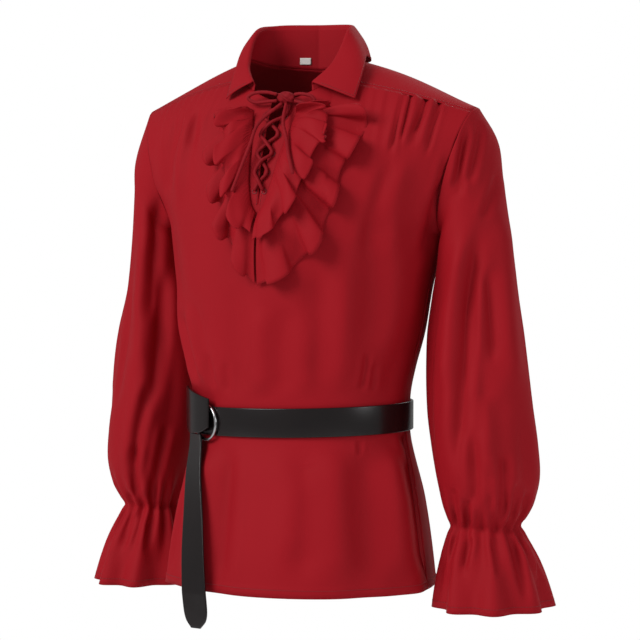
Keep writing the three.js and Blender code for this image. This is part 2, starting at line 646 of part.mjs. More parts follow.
// A point on a sleeve ring. Angle 0 is its outer side and 90 its front.
function sleevePoint(side, run, angle) {
  const ring = (column) => read(SLEEVE, 'run', column, run);
  const tilt = degrees(ring('tilt'));
  const swell = foldDepth(SLEEVE_FOLDS, side > 0 ? angle : angle + RIGHT_FOLD_TURN, ring('z'));
  const passed = step(run, 0, RIGHT_ARM_STRAIGHT);
  const drawnIn = side > 0 ? 0 : mix(RIGHT_SHOULDER.in, RIGHT_WRIST.in, passed) / 2;
  const across = (ring('wide') + swell - drawnIn) * Math.cos(degrees(angle)) - drawnIn;
  const back = side > 0 ? 0 : RIGHT_WRIST.back * passed;
  const y = ring('y') + back - (ring('deep') + swell) * Math.sin(degrees(angle));
  return vector(side * (ring('x') + across * Math.cos(tilt)), y, ring('z') + across * Math.sin(tilt));
}

// Gathers stand on the elastic line, run up into the sleeve and open below into the flutes of the frill.
function wristWave(share, z) {
  const turn = 2 * Math.PI * share;
  const gather = GATHER_DEPTH * Math.cos(WRIST_GATHERS * turn);
  if (z >= ELASTIC) return gather * (1 - step(z - ELASTIC, GATHER_REACH.from, GATHER_REACH.to));
  const open = step(ELASTIC - z, FLUTE_REACH.from, FLUTE_REACH.to);
  return gather * (1 - open) + FLUTE_DEPTH * open * Math.cos(FRILL_FLUTES * turn);
}

// Splits each step of a closed list of angles into equal parts.
function refine(angles, parts) {
  return angles.flatMap((angle, at) => {
    const next = at + 1 < angles.length ? angles[at + 1] : angles[0] + 360;
    return evenly(parts).slice(0, -1).map((t) => mix(angle, next, t));
  });
}

function addSleeve(name, side) {
  const rows = [ARMHOLE_ANGLES.map((angle) => armholePoint(side, angle))];
  const gatheredParts = WRIST_GATHERS * COLUMNS_PER_GATHER / ARMHOLE_ANGLES.length;
  SLEEVE.forEach((ring, at) => {
    const gathered = at >= FIRST_GATHERED_RING;
    const parts = gathered ? gatheredParts : Math.min(at + 1, SLEEVE_PARTS);
    const angles = refine(ARMHOLE_ANGLES, parts);
    rows.push(angles.map((seamAngle, column) => {
      const share = column / angles.length;
      const spread = step(ring.run, SPREAD_RUNS.from, SPREAD_RUNS.to);
      const angle = mix(seamAngle, ARMHOLE_ANGLES[0] + 360 * share, spread);
      const point = sleevePoint(side, ring.run, angle);
      if (!gathered) return point;
      const outward = vector(side * Math.cos(degrees(angle)), -Math.sin(degrees(angle)), 0);
      return point.addScaledVector(outward, wristWave(share, ring.z));
    }));
  });
  sew(rows[0], rows[1], SEAM_NORMALS.armhole);
  const sheet = loft(rows, true);
  addPiece(name, wall(side > 0 ? sheet : flipped(sheet), CLOTH), 'red_cloth');
}

// Collar

// The collar ends at a corner of the front's neck seam, and has its corners in common with it.
const COLLAR_FRONT_ANGLES = [0.75, 0.5].map((share) => mix(SLIT_TOP_ANGLE, YOKE_NECK_ANGLE, share));

const collarColumn = (name, angle) => read(COLLAR, 'angle', name, Math.abs(angle));
const neckOutward = (angle) => vector(Math.sin(degrees(angle)), Math.cos(degrees(angle)), 0);

function foldLinePoint(angle) {
  const point = neckPoint(angle).addScaledVector(neckOutward(angle), collarColumn('lean', angle));
  return point.add(vector(0, 0, collarColumn('rise', angle)));
}

// A point on the folded leaf: share 0 lies over the fold line and 1 is the outer edge.
function leafPoint(angle, share) {
  const top = foldLinePoint(angle);
  const outward = neckOutward(angle);
  if (share === 0) return top.addScaledVector(outward, -LEAF.foldIn).add(vector(0, 0, LEAF.foldUp));
  const reach = angle < 0 ? -collarColumn('rightX', angle) : collarColumn('leftX', angle);
  const edge = vector(reach, collarColumn('edgeY', angle), collarColumn('edgeZ', angle));
  top.addScaledVector(outward, LEAF.out).add(vector(0, 0, LEAF.up));
  return top.lerp(edge, share).addScaledVector(outward, LEAF.fullness * Math.sin(Math.PI * share));
}

function addCollar() {
  const half = [...YOKE_SHARES.map((share) => share * YOKE_NECK_ANGLE), ...COLLAR_FRONT_ANGLES];
  const angles = [...half.slice(1).reverse().map((angle) => -angle), ...half];
  const standRow = (share) => angles.map((angle) => neckPoint(angle).lerp(foldLinePoint(angle), share));
  const stand = STAND_LEVELS.map(standRow);
  sew(stand[0], stand[1], SEAM_NORMALS.neck);
  addPiece('collar_stand', wall(flipped(loft(stand, false)), CLOTH), 'red_cloth');
  const leaf = LEAF_SHARES.map((share) => angles.map((angle) => leafPoint(angle, share)));
  addPiece('collar_leaf', wall(loft(leaf, false), CLOTH), 'red_cloth');
}

// What lies on the front

// Finds the front's surface at a place seen from straight ahead, with its outward normal.
function frontAt(x, z) {
  const side = x < 0 ? -1 : 1;
  const edge = slitHalfGap(z) + SEAM;
  if (Math.abs(x) < edge) {
    const beside = frontAt(side * edge, z);
    return { point: beside.point.setX(x), normal: beside.normal.setX(0).normalize() };
  }
  let u = Math.abs(x) / ARMHOLE.x;
  let v = (z - UNDERARM) / (frontCentre(side, 1).z - UNDERARM);
  const below = (a, b) => bodyPoint(side * a * 90, mix(UNDERARM, LOWER_LEVELS.at(-2), -b));
  const surface = (a, b) => (b < 0 ? below(a, b) : chestPoint(side, a, b));
  for (let turn = 0; turn < SEARCH.turns; turn += 1) {
    const point = surface(u, v);
    const du = surface(u + SEARCH.step, v).sub(point).divideScalar(SEARCH.step);
    const dv = surface(u, v + SEARCH.step).sub(point).divideScalar(SEARCH.step);
    const missX = x - point.x;
    const missZ = z - point.z;
    const area = du.x * dv.z - du.z * dv.x;
    u += (missX * dv.z - missZ * dv.x) / area;
    v += (du.x * missZ - du.z * missX) / area;
  }
  const point = surface(u, v);
  const across = surface(u + SEARCH.step, v).sub(point);
  const normal = across.cross(surface(u, v + SEARCH.step).sub(point)).normalize().multiplyScalar(side);
  return { point, normal };
}

function offFront(x, z, out) {
  const { point, normal } = frontAt(x, z);
  return point.addScaledVector(normal, out);
}

// Places the columns of a ruffle by its lobes, each with its turn of the wave, place along and height.
function lobeColumns(lobes) {
  const marks = [0, ...lobes.map((lobe) => lobe[0]), 1];
  const turns = [0, ...lobes.map((_, at) => at + 0.25), lobes.length - 0.25];
  const heights = lobes.map(([share, height]) => ({ share, height }));
  return evenly(COLUMNS_PER_LOBE * lobes.length).map((t) => {
    const turn = t * turns.at(-1);
    const row = Math.max(turns.findIndex((next) => next >= turn), 1);
    const share = mix(marks[row - 1], marks[row], (turn - turns[row - 1]) / (turns[row] - turns[row - 1]));
    return { share, turn: 2 * Math.PI * turn, height: read(heights, 'share', 'height', share) };
  });
}

const smoothLine = (places) => new THREE.CatmullRomCurve3(places.map(([x, z]) => vector(x, 0, z)));

// A gathered strip sewn on beside the slit: it lies flat at its seam and stands off in lobes at its hem.
function addRuffle({ name, side, lift, rise, sewn, hem, lobes }) {
  const sewnLine = smoothLine(sewn);
  const hemLine = smoothLine(hem);
  const columns = lobeColumns(lobes);
  const rows = RUFFLE_ROWS.map((run) => columns.map(({ share, turn, height }) => {
    const start = sewnLine.getPointAt(share ** PLEAT_LEAN);
    const end = hemLine.getPointAt(share);
    const along = hemLine.getTangentAt(share);
    const away = end.clone().sub(start).normalize();
    const ends = step(Math.min(share, 1 - share), 0, RUFFLE_END);
    end.addScaledVector(along, -LOBE_OVERHANG * Math.sin(2 * turn) * ends);
    end.addScaledVector(away, LOBE_REACH * Math.sin(turn) * ends);
    const belly = Math.sin(Math.PI * run);
    const bow = PLEAT_BOW.depth * Math.sin(2 * Math.PI * PLEAT_BOW.count * share) * ends * belly;
    const place = start.lerp(end, run).addScaledVector(along, bow);
    const lobe = height * Math.sin(turn) * run ** LOBE_GROWTH;
    return offFront(side * place.x, place.z, mix(lift, rise, run) + lobe + RUFFLE_FULLNESS * belly);
  }));
  const sheet = loft(rows, false);
  addPiece(name, wall(side > 0 ? flipped(sheet) : sheet, FRILL_CLOTH), 'red_cloth');
}

// A round cord along a smooth line of points.
function cord(points, diameter, steps) {
  const section = new THREE.Shape();
  for (let at = 0; at < LACE_SIDES; at += 1) {
    const turn = 2 * Math.PI * at / LACE_SIDES;
    const place = [diameter / 2 * Math.cos(turn), diameter / 2 * Math.sin(turn)];
    if (at === 0) section.moveTo(...place);
    else section.lineTo(...place);
  }
  section.closePath();
  const path = new THREE.CatmullRomCurve3(points);
  const tube = new THREE.ExtrudeGeometry(section, { steps, bevelEnabled: false, extrudePath: path });
  tube.deleteAttribute('normal');
  tube.deleteAttribute('uv');
  return mergeVertices(tube, WELD);
}

// A place by its offset from the middle of the knot: to the left, to the front and up.
const knotPoint = (left, ahead, up) => offFront(KNOT.x, KNOT.z, KNOT.out).add(vector(left, -ahead, up));

// One of the two crossing runs of the lace. It starts at one side of the knot and changes side at each level.
function addLaceRun({ name, side, crossing, start }) {
  const points = [knotPoint(...start)];
  LACE_LEVELS.forEach((z, at) => {
    const place = (at % 2 === 0 ? side : -side) * (slitHalfGap(z) + EYELET_INSET);
    points.push(offFront(place, z, LACE_LIFT));
    if (at < LACE_LEVELS.length - 1) {
      points.push(offFront(0, (z + LACE_LEVELS[at + 1]) / 2, crossing));
    }
  });
  addPiece(name, cord(points, LACE_DIAMETER, LACE_STEPS.run), 'red_cloth');
}

function addBow() {
  const centre = knotPoint(0, 0, 0);
  const knot = new THREE.SphereGeometry(1, KNOT_STEPS.round, KNOT_STEPS.tall);
  knot.scale(KNOT.wide, KNOT.deep, KNOT.tall);
  knot.translate(centre.x, centre.y, centre.z);
  knot.deleteAttribute('normal');
  knot.deleteAttribute('uv');
  addPiece('lace_knot', mergeVertices(knot, WELD), 'red_cloth');
  for (const { name, side, line } of BOW_LOOPS) {
    const points = line.map(([x, z, out]) => knotPoint(side * x, out, z));
    addPiece(name, cord(points, LACE_DIAMETER, LACE_STEPS.loop), 'red_cloth');
  }
}

// Free ends of the lace, from under the knot down over the lacing and the ruffles.
function addLaceEnds() {
  for (const { name, side, line } of LACE_ENDS) {
    const start = knotPoint(side * LACE_END_START.x, LACE_END_START.ahead, LACE_END_START.up);
    const hanging = line.map(([x, z, out]) => offFront(x, z, out));
    addPiece(name, cord([start, ...hanging], LACE_DIAMETER, LACE_STEPS.end), 'red_cloth');
  }
}

function addLabel() {
  const label = new THREE.BoxGeometry(LABEL.wide, LABEL.thick, LABEL.tall);
  label.rotateZ(degrees(LABEL.turn));
  label.translate(LABEL.x, neckPoint(LABEL.angle).y - CLOTH - LABEL.gap, LABEL.z);
  addPiece('size_label', label, 'white_label');
}

// Belt

function beltPoint(angle, height, out) {
  const point = bodyPoint(angle, BELT_FLAT_LOW, out);
  return point.add(vector(0, 0, BELT_MIDDLE - BELT_FLAT_LOW + height));
}

function addBeltStrap() {
  const angles = Array.from({ length: 4 * PANEL_COLUMNS }, (_, at) => 360 * at / (4 * PANEL_COLUMNS));
  const rows = [-BELT_HALF_HEIGHT, BELT_HALF_HEIGHT].map((height) =>
    angles.map((angle) => beltPoint(angle, height, STRAP_OUT)));
  addPiece('belt_strap', wall(loft(rows, true), LEATHER), 'black_leather');
}

// The way the body's side faces at an angle round it, turned from straight ahead, in radians.
function bodyFacing(angle) {
  const ahead = beltPoint(angle, 0, 1).sub(beltPoint(angle, 0, 0));
  return Math.atan2(ahead.x, -ahead.y);
}

function addBeltRing() {
  const ring = new THREE.TorusGeometry(RING.radius, RING.wire, RING_STEPS.wire, RING_STEPS.round);
  ring.deleteAttribute('normal');
  ring.deleteAttribute('uv');
  const mesh = mergeVertices(ring, WELD);
  const centre = beltPoint(RING.angle, RING.drop, STRAP_OUT + RING.wire);
  mesh.rotateX(Math.PI / 2);
  mesh.rotateZ(bodyFacing(RING.angle));
  mesh.translate(centre.x, centre.y, centre.z);
  addPiece('belt_ring', mesh, 'steel');
}

// The end of the belt turned down over the ring
function addBeltWrap() {
  const rows = WRAP_LEVELS.map((t) => WRAP.map((at) => beltPoint(at.angle, mix(at.low, at.high, t), at.out)));
  addPiece('belt_wrap', wall(loft(rows, false), LEATHER), 'black_leather');
}

function addBeltTail() {
  const rows = TAIL.map((at) => {
    const middle = bodyPoint(at.angle, Math.max(at.z, HEM), at.out);
    const along = vector(Math.cos(degrees(at.facing)), Math.sin(degrees(at.facing)), 0);
    return [-1, 0, 1].map((side) => middle.clone().addScaledVector(along, side * at.half).setZ(at.z));
  });
  addPiece('belt_tail', wall(flipped(loft(rows, false)), LEATHER), 'black_leather');
}

addFront();
addBack();
addYoke();
addSleeve('sleeve_left', 1);
addSleeve('sleeve_right', -1);
addCollar();
RUFFLES.forEach(addRuffle);
LACE_RUNS.forEach(addLaceRun);
addBow();
addLaceEnds();
addLabel();
addBeltStrap();
addBeltRing();
addBeltWrap();
addBeltTail();

export default group;
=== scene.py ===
"""A gathered medieval shirt, filled out as it is worn, with its ring belt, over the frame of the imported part.

Shapes are worked out in millimetres, +Z up. The front faces -Y and the wearer's left is +X.
"""

import bpy
import numpy as np
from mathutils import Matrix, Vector
from mathutils.bvhtree import BVHTree


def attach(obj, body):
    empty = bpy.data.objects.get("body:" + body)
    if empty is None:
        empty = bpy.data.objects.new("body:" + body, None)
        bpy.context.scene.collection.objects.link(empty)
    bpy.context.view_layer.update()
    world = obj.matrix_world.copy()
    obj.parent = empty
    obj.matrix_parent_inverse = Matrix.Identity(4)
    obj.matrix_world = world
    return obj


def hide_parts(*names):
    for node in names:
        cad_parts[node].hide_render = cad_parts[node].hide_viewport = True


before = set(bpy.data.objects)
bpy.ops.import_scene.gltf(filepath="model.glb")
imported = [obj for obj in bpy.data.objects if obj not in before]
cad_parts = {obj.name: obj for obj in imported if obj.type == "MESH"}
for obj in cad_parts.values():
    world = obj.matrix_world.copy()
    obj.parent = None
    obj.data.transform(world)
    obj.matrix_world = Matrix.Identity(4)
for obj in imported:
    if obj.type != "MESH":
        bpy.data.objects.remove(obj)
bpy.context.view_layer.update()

MM = 0.001

# Camera and photo. The camera's reach is in metres.
CAMERA_AZIMUTH = 25
CAMERA_ELEVATION = 4
CAMERA_DISTANCE = 4000
CAMERA_TARGET = (24.1, 11.2, -332)
LENS = 169
SENSOR = 36
CAMERA_REACH = 100
PHOTO_SIZE = 640

# Cloth, seams, leather and lace
CLOTH = 1.1
FRILL_CLOTH = 0.9
SEAM = 0.3
LEATHER = 3.5
LACE_DIAMETER = 4.6

# Heights of the levels that the pieces share
HEM = -682
UNDERARM = -215
SLIT_FOOT = -175
SLIT_TOP_HALF_GAP = 11
SLIT_BEND = 1.2
BELT_MIDDLE = -459
BELT_HALF_HEIGHT = 19
BELT_FLAT_LOW = -484
BELT_FLAT_HIGH = -434
BELT_TILT = 0.03
ELASTIC = -596


def table(columns, *rows):
    """Named columns of numbers. The first one is the key that the table is read by."""
    return dict(zip(columns.split(), np.array(rows, float).T))


# Sections of the body, from the hem to the underarm: half width, reach to front and back, y of the side seam.
BODY = table(
    "z wide front back side tilt",
    (HEM, 182, 150, 142, 5, 0),
    (-640, 178, 146, 138, 5, 0),
    (-590, 172, 138, 131, 5, 0),
    (-535, 163, 126, 120, 5, 0.015),
    (BELT_FLAT_LOW, 152, 113, 108, 5, BELT_TILT),
    (BELT_FLAT_HIGH, 152, 113, 108, 5, BELT_TILT),
    (-395, 158, 118, 114, 8, 0.015),
    (-345, 170, 124, 121, 12, 0),
    (-285, 179, 128, 125, 18, 0),
    (UNDERARM, 192, 129, 126, 32, 0),
)

# Neck seam, by the angle from the centre back to the centre front.
NECK = table(
    "angle x y z",
    (0, 0, 62, 0),
    (45, 57, 46, 5),
    (90, 79, 4, 12),
    (125, 66, -33, -14),
    (145, 46, -50, -26),
    (165, 22, -59, -37),
    (180, 0, -63, -44),
)
YOKE_NECK_ANGLE = 125
SLIT_TOP_ANGLE = 172
COLLAR_FRONT_ANGLE = 148.5

# Centre front from the underarm level to the neck.
CHEST = table("z y", (UNDERARM, -129), (SLIT_FOOT, -126), (-130, -113), (-90, -92), (-41, -61.6))

# Armhole: an oval that leans out at the top. Angle 0 is its top, 90 its front and -90 its back.
ARMHOLE_MIDDLE = (220, 32, -132.5)
ARMHOLE_LEAN = 28
ARMHOLE_HEIGHT = 82.5
ARMHOLE_DEPTH = 50
ARMHOLE_FORWARD = 20
ARMHOLE_FRONT_SEAM = 20
ARMHOLE_BACK_SEAM = -65

# The right shoulder, and the outer side of its sleeve, are drawn in, down and back from the left ones.
RIGHT_SHOULDER_IN = 25
RIGHT_SHOULDER_DOWN = 4
RIGHT_WRIST_IN = 16
RIGHT_WRIST_BACK = 18
RIGHT_ARM_STRAIGHT = 0.8

# Yoke: its back seam at the centre, the share of its rim that the back seam takes, and its fullness.
BACK_YOKE = (119, -95)
BACK_SEAM_SHARE = 0.45
YOKE_FULLNESS = table("share y z", (0, 10, 10), (0.45, 10, 14), (0.8, 0, 6), (1, -7, 4))

# Share of the front's columns that run into the neck seam; the others run into the yoke seam.
NECK_COLUMN_SHARE = 0.36
# Share of the way to the centre from which the neck seam is pulled onto the slit's edge.
NECK_PULL = 0.75

# Shares of a fold's height over which it opens at its lower end, and from which it closes at its upper one.
FOLD_OPEN = 0.25
FOLD_CLOSE = 0.55

# Folds of the body: angle from centre front at the lower end, drift to the upper end, half breadth in
# degrees, lower and upper ends, and depth (ridges are positive).
BODY_FOLDS = (
    (22, 4, 7, BELT_FLAT_HIGH, -290, 3.5),
    (18, 5, 8, -640, BELT_FLAT_LOW, 5),
    (70, 8, 9, BELT_FLAT_HIGH, -300, -5),
    (50, -6, 9, HEM, BELT_FLAT_LOW, -5),
    (78, -4, 8, HEM, BELT_FLAT_LOW, 7),
    (-52, -16, 8, BELT_FLAT_HIGH, -280, 5),
    (-70, -10, 8, BELT_FLAT_HIGH, -300, -5),
    (-58, 14, 9, HEM, BELT_FLAT_LOW, 7),
    (-80, 8, 8, HEM, BELT_FLAT_LOW, -6),
    (-18, 2, 9, HEM, -500, -4),
    (118, 6, 9, HEM, BELT_FLAT_LOW, 7),
    (150, 4, 10, HEM, BELT_FLAT_LOW, -6),
    (-128, -6, 9, HEM, BELT_FLAT_LOW, 7),
    (-160, -4, 10, HEM, BELT_FLAT_LOW, -6),
    (125, 8, 9, BELT_FLAT_HIGH, -250, 6),
    (155, 4, 9, BELT_FLAT_HIGH, -270, -5),
    (-120, -8, 9, BELT_FLAT_HIGH, -250, 6),
    (-150, -4, 9, BELT_FLAT_HIGH, -270, -5),
)

# Sleeve rings from the armhole to the frill's edge: centre, half sizes, and tilt of the ring's outer side up.
SLEEVE = table(
    "run x y z tilt wide deep",
    (0.1, 231, 31, -156, 62, 73, 52),
    (0.18, 232, 32, -188, 51, 63.5, 54),
    (0.27, 235, 33, -238, 31, 55, 57),
    (0.37, 237, 34, -294, 8, 57, 60),
    (0.46, 239, 34, -350, 2, 65, 66),
    (0.6, 245, 33, -438, 0, 70.5, 72),
    (0.7, 252, 32, -490, 0, 71, 73),
    (0.78, 258, 31, -535, 0, 67, 69),
    (0.84, 258, 30, -566, 0, 58, 59),
    (0.88, 256, 30, -586, 0, 48, 49),
    (0.9, 255, 30, ELASTIC, 0, 43, 44),
    (0.92, 256, 30, -606, 0, 48, 49),
    (0.96, 261, 31, -645, 0, 62, 66),
    (1, 266, 32, -702, 0, 73, 84),
)

# Folds of a sleeve: angle round it from the outer side towards the front, drift, breadth, ends and depth.
SLEEVE_FOLDS = (
    (150, -25, 14, -540, -215, -6),
    (105, -10, 13, -560, -330, 5),
    (60, 10, 13, -480, -235, -6),
    (20, 0, 13, -575, -430, -5),
    (-40, 12, 15, -540, -260, -6),
    (-95, -12, 14, -560, -320, 5),
    (-140, 10, 14, -520, -240, -6),
)
FOLD_SHIFT_RIGHT = 9
SLEEVE_FOLD_START = (0.05, 0.2)

# Gathers on the elastic line, which open below into the flutes of the frill.
WRIST_GATHERS = 16
GATHER_DEPTH = 3.2
GATHER_REACH = (8, 62)
FLUTES = 8
FLUTE_DEPTH = 7
FLUTE_REACH = (8, 100)

# Collar: height of the fold line over the neck seam, and the leaf's outer edge, by the neck angle.
COLLAR = table(
    "angle rise lean left_x right_x edge_y edge_z",
    (0, 57, 1, 0, 0, 84, 6),
    (45, 51, -6, 73, 70, 60, 10),
    (90, 35, -14, 95, 86, 4, 17),
    (118, 24, -9, 105, 82, -30, -4),
    (COLLAR_FRONT_ANGLE, 9, -1, 106, 81, -57, -38),
)


def place(x, y, z):
    return np.stack(np.broadcast_arrays(x, y, z), -1).astype(float)


TINY = 1e-9


def unit(vectors):
    return vectors / np.maximum(np.linalg.norm(vectors, axis=-1, keepdims=True), TINY)


def mix(a, b, t):
    return a + (b - a) * t


def step(value, low, high):
    """Rises smoothly from 0 at low to 1 at high."""
    t = np.clip((value - low) / (high - low), 0, 1)
    return t * t * (3 - 2 * t)


def curve(keys, data, value):
    """A smooth curve through rows of numbers or points, read at values of their keys."""
    value = np.asarray(value, float)
    low = np.clip(np.searchsorted(keys, value) - 1, 0, len(keys) - 2)
    ahead, behind = np.append(keys[1:], keys[-1]), np.append(keys[0], keys[:-1])
    rise = np.concatenate([data[1:], data[-1:]]) - np.concatenate([data[:1], data[:-1]])
    rest = (...,) + (None,) * (data.ndim - 1)
    slope = rise / (ahead - behind)[rest]
    span = (keys[low + 1] - keys[low])[rest]
    t = np.clip((value - keys[low])[rest] / span, 0, 1)
    a, b = data[low], data[low + 1]
    bend = (1 - t) * (slope[low] * span - (b - a)) - t * (slope[low + 1] * span - (b - a))
    return mix(a, b, t) + t * (1 - t) * bend


def read(rows, column, value):
    return curve(next(iter(rows.values())), rows[column], value)


def fold_depth(folds, angle, z):
    """Soft ridges and troughs that die out at both ends of their height and both sides of their angle."""
    total = 0
    for middle, drift, breadth, low, high, depth in folds:
        t = (z - low) / (high - low)
        turn = np.mod(angle - middle - drift * t + 180, 360) - 180
        start = 1 if low == HEM else step(t, 0, FOLD_OPEN)
        ends = start * (1 - step(t, FOLD_CLOSE, 1)) * ((t >= 0) & (t <= 1))
        total = total + depth * np.exp(-((turn / breadth) ** 2)) * ends
    return total


def body_point(angle, z, out=0.0):
    """A point on the body below the underarm. Angle 0 is the centre front and 90 the left side seam."""
    sine, cosine = np.sin(np.radians(angle)), np.cos(np.radians(angle))
    wide, side = read(BODY, "wide", z), read(BODY, "side", z)
    reach = np.where(cosine > 0, read(BODY, "front", z) + side, read(BODY, "back", z) - side)
    swell = fold_depth(BODY_FOLDS, angle, z) + out
    x = wide * sine
    radial = unit(place(x / wide**2, -cosine / reach, 0))
    point = place(x, side - reach * cosine, z + x * read(BODY, "tilt", z))
    return point + radial * np.asarray(swell)[..., None]


def neck_point(angle):
    """A point on the neck seam. Angle 0 is the centre back, and a negative angle is on the right."""
    turn = np.abs(angle)
    return place(np.sign(angle) * read(NECK, "x", turn), read(NECK, "y", turn), read(NECK, "z", turn))


def armhole_point(side, angle):
    cosine = np.cos(np.radians(angle))
    x, y, z = ARMHOLE_MIDDLE
    ahead = ARMHOLE_DEPTH * np.sin(np.radians(angle)) + ARMHOLE_FORWARD * (1 + cosine) / 2
    drawn = np.where(np.less(side, 0), (1 + cosine) / 2, 0)
    x = x + ARMHOLE_LEAN * cosine - RIGHT_SHOULDER_IN * drawn
    return place(side * x, y - ahead, z + ARMHOLE_HEIGHT * cosine - RIGHT_SHOULDER_DOWN * drawn)


def back_seam_point(side, share):
    corner_x, corner_y, corner_z = np.moveaxis(armhole_point(side, ARMHOLE_BACK_SEAM), -1, 0)
    turn = np.radians(90 * share)
    y, z = BACK_YOKE
    return place(corner_x * np.sin(turn), mix(corner_y, y, np.cos(turn)), mix(z, corner_z, share))


def yoke_point(side, share, run):
    """A point on the yoke: share 0 is the centre back and 1 the front seam, run 0 the neck and 1 the rim."""
    share, run = np.broadcast_arrays(np.asarray(share, float), run)
    rim_share = (share - BACK_SEAM_SHARE) / (1 - BACK_SEAM_SHARE)
    on_back = back_seam_point(side, np.minimum(share / BACK_SEAM_SHARE, 1))
    on_armhole = armhole_point(side, mix(ARMHOLE_BACK_SEAM, ARMHOLE_FRONT_SEAM, np.maximum(rim_share, 0)))
    rim = np.where((share < BACK_SEAM_SHARE)[..., None], on_back, on_armhole)
    swell = np.sin(np.pi * run)
    full = place(0, read(YOKE_FULLNESS, "y", share) * swell, read(YOKE_FULLNESS, "z", share) * swell)
    return mix(neck_point(side * share * YOKE_NECK_ANGLE), rim, run[..., None]) + full


def patch(bottom, top, centre, edge, u, v):
    """A patch between four edges that meet at its corners."""
    zero, one = np.zeros_like(u), np.ones_like(u)
    across, up = u[..., None], v[..., None]
    sides = mix(bottom(u), top(u), up) + mix(centre(v), edge(v), across)
    return sides - mix(mix(bottom(zero), bottom(one), across), mix(top(zero), top(one), across), up)


def slit_half_gap(z):
    top = neck_point(SLIT_TOP_ANGLE)[2]
    return SLIT_TOP_HALF_GAP * np.clip((z - SLIT_FOOT) / (top - SLIT_FOOT), 0, 1) ** SLIT_BEND


def front_centre(side, v):
    z = mix(UNDERARM, neck_point(SLIT_TOP_ANGLE)[2], v)
    return place(side * slit_half_gap(z), read(CHEST, "y", z), z)


def front_top(side, u):
    along = np.minimum(u / NECK_COLUMN_SHARE, 1)
    pull = step(1 - along, NECK_PULL, 1)[..., None]
    on_neck = neck_point(side * mix(SLIT_TOP_ANGLE, YOKE_NECK_ANGLE, along))
    on_neck = mix(on_neck, front_centre(side, np.ones_like(u)), pull)
    on_yoke = yoke_point(side, 1, np.maximum((u - NECK_COLUMN_SHARE) / (1 - NECK_COLUMN_SHARE), 0))
    return np.where((u < NECK_COLUMN_SHARE)[..., None], on_neck, on_yoke)


def chest_point(side, u, v):
    """The front above the underarm: u runs from the centre to the armhole, v from the underarm to the top."""
    return patch(
        lambda at: body_point(side * at * 90, UNDERARM),
        lambda at: front_top(side, at),
        lambda at: front_centre(side, at),
        lambda at: armhole_point(side, mix(180, ARMHOLE_FRONT_SEAM, at)),
        u,
        v,
    )


def shoulder_blade_point(side, u, v):
    y, z = BACK_YOKE
    middle_low = body_point(180, UNDERARM)
    return patch(
        lambda at: body_point(side * (180 - at * 90), UNDERARM),
        lambda at: back_seam_point(side, at),
        lambda at: mix(middle_low, np.array([0, y, z]), at[..., None]),
        lambda at: armhole_point(side, mix(-180, ARMHOLE_BACK_SEAM, at)),
        u,
        v,
    )


# Meshes


def grid_faces(rows, columns, closed, flip):
    """Quads between neighbouring rows of a grid of points."""
    at = np.arange(rows * columns).reshape(rows, columns)
    if closed:
        at = np.concatenate([at, at[:, :1]], 1)
    corners = [at[:-1, :-1], at[:-1, 1:], at[1:, 1:], at[1:, :-1]]
    faces = np.stack(corners, -1).reshape(-1, 4)
    return faces[:, ::-1] if flip else faces


def join_sheets(sheets):
    """Joins sheets of points and quads where their points coincide, to a hundredth of a millimetre."""
    points = np.concatenate([sheet[0] for sheet in sheets])
    starts = np.cumsum([0] + [len(sheet[0]) for sheet in sheets[:-1]])
    faces = np.concatenate([sheet[1] + start for sheet, start in zip(sheets, starts)])
    _, first, index = np.unique(np.round(points, 2) + 0.0, axis=0, return_index=True, return_inverse=True)
    return points[first], index.reshape(-1)[faces]


def vertex_normals(points, faces):
    diagonals = points[faces[:, 2]] - points[faces[:, 0]], points[faces[:, 3]] - points[faces[:, 1]]
    area = np.cross(*diagonals)
    normals = np.zeros_like(points)
    for corner in range(4):
        np.add.at(normals, faces[:, corner], area)
    return unit(normals)


def open_edges(faces):
    """Edges that only one face has, as pairs of corners in that face's order."""
    pairs = np.concatenate([faces[:, [corner, (corner + 1) % 4]] for corner in range(4)])
    pairs = pairs[pairs[:, 0] != pairs[:, 1]]
    _, index, count = np.unique(np.sort(pairs, 1), axis=0, return_inverse=True, return_counts=True)
    return pairs[count[index.reshape(-1)] == 1]


def add_object(name, data):
    added = bpy.data.objects.new(name, data)
    bpy.context.scene.collection.objects.link(added)
    return added


def add_mesh(name, points, faces, material):
    """A smooth piece from points in millimetres. A corner that a quad repeats is left out of its face."""
    mesh = bpy.data.meshes.new(name)
    mesh.from_pydata((points * MM).tolist(), [], [list(dict.fromkeys(face)) for face in faces.tolist()])
    mesh.materials.append(material)
    mesh.polygons.foreach_set("use_smooth", [True] * len(mesh.polygons))
    mesh.validate()
    piece = add_object(name, mesh)
    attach(piece, "root")
    return piece


def close_shell(outer, inner, faces):
    """A closed solid between an outer and an inner sheet that have the same faces."""
    count = len(outer)
    edges = open_edges(faces)
    rim = np.column_stack([edges[:, 1], edges[:, 0], edges[:, 0] + count, edges[:, 1] + count])
    return np.concatenate([outer, inner]), np.concatenate([faces, faces[:, ::-1] + count, rim])


def ring_of_wire(middle, axes, radius, wire, steps, sides):
    """A closed ring of round wire. Its axes lead across it, up it and out of its plane."""
    across, up, out = axes
    turn = np.linspace(0, 2 * np.pi, steps, endpoint=False)[:, None]
    section = np.linspace(0, 2 * np.pi, sides, endpoint=False)
    reach = (radius + wire * np.cos(section))[..., None]
    circle = across * np.cos(turn)[..., None] + up * np.sin(turn)[..., None]
    grid = middle + circle * reach + out * (wire * np.sin(section))[:, None]
    return join_sheets([sheet_of(np.concatenate([grid, grid[:1]]), closed=True)])


STITCH_LENGTH = 2.5
STITCH_PITCH = 3.5
STITCH_HALF_WIDTH = 0.3
STITCH_HEIGHT = 0.35
STITCH_CORNERS = 8
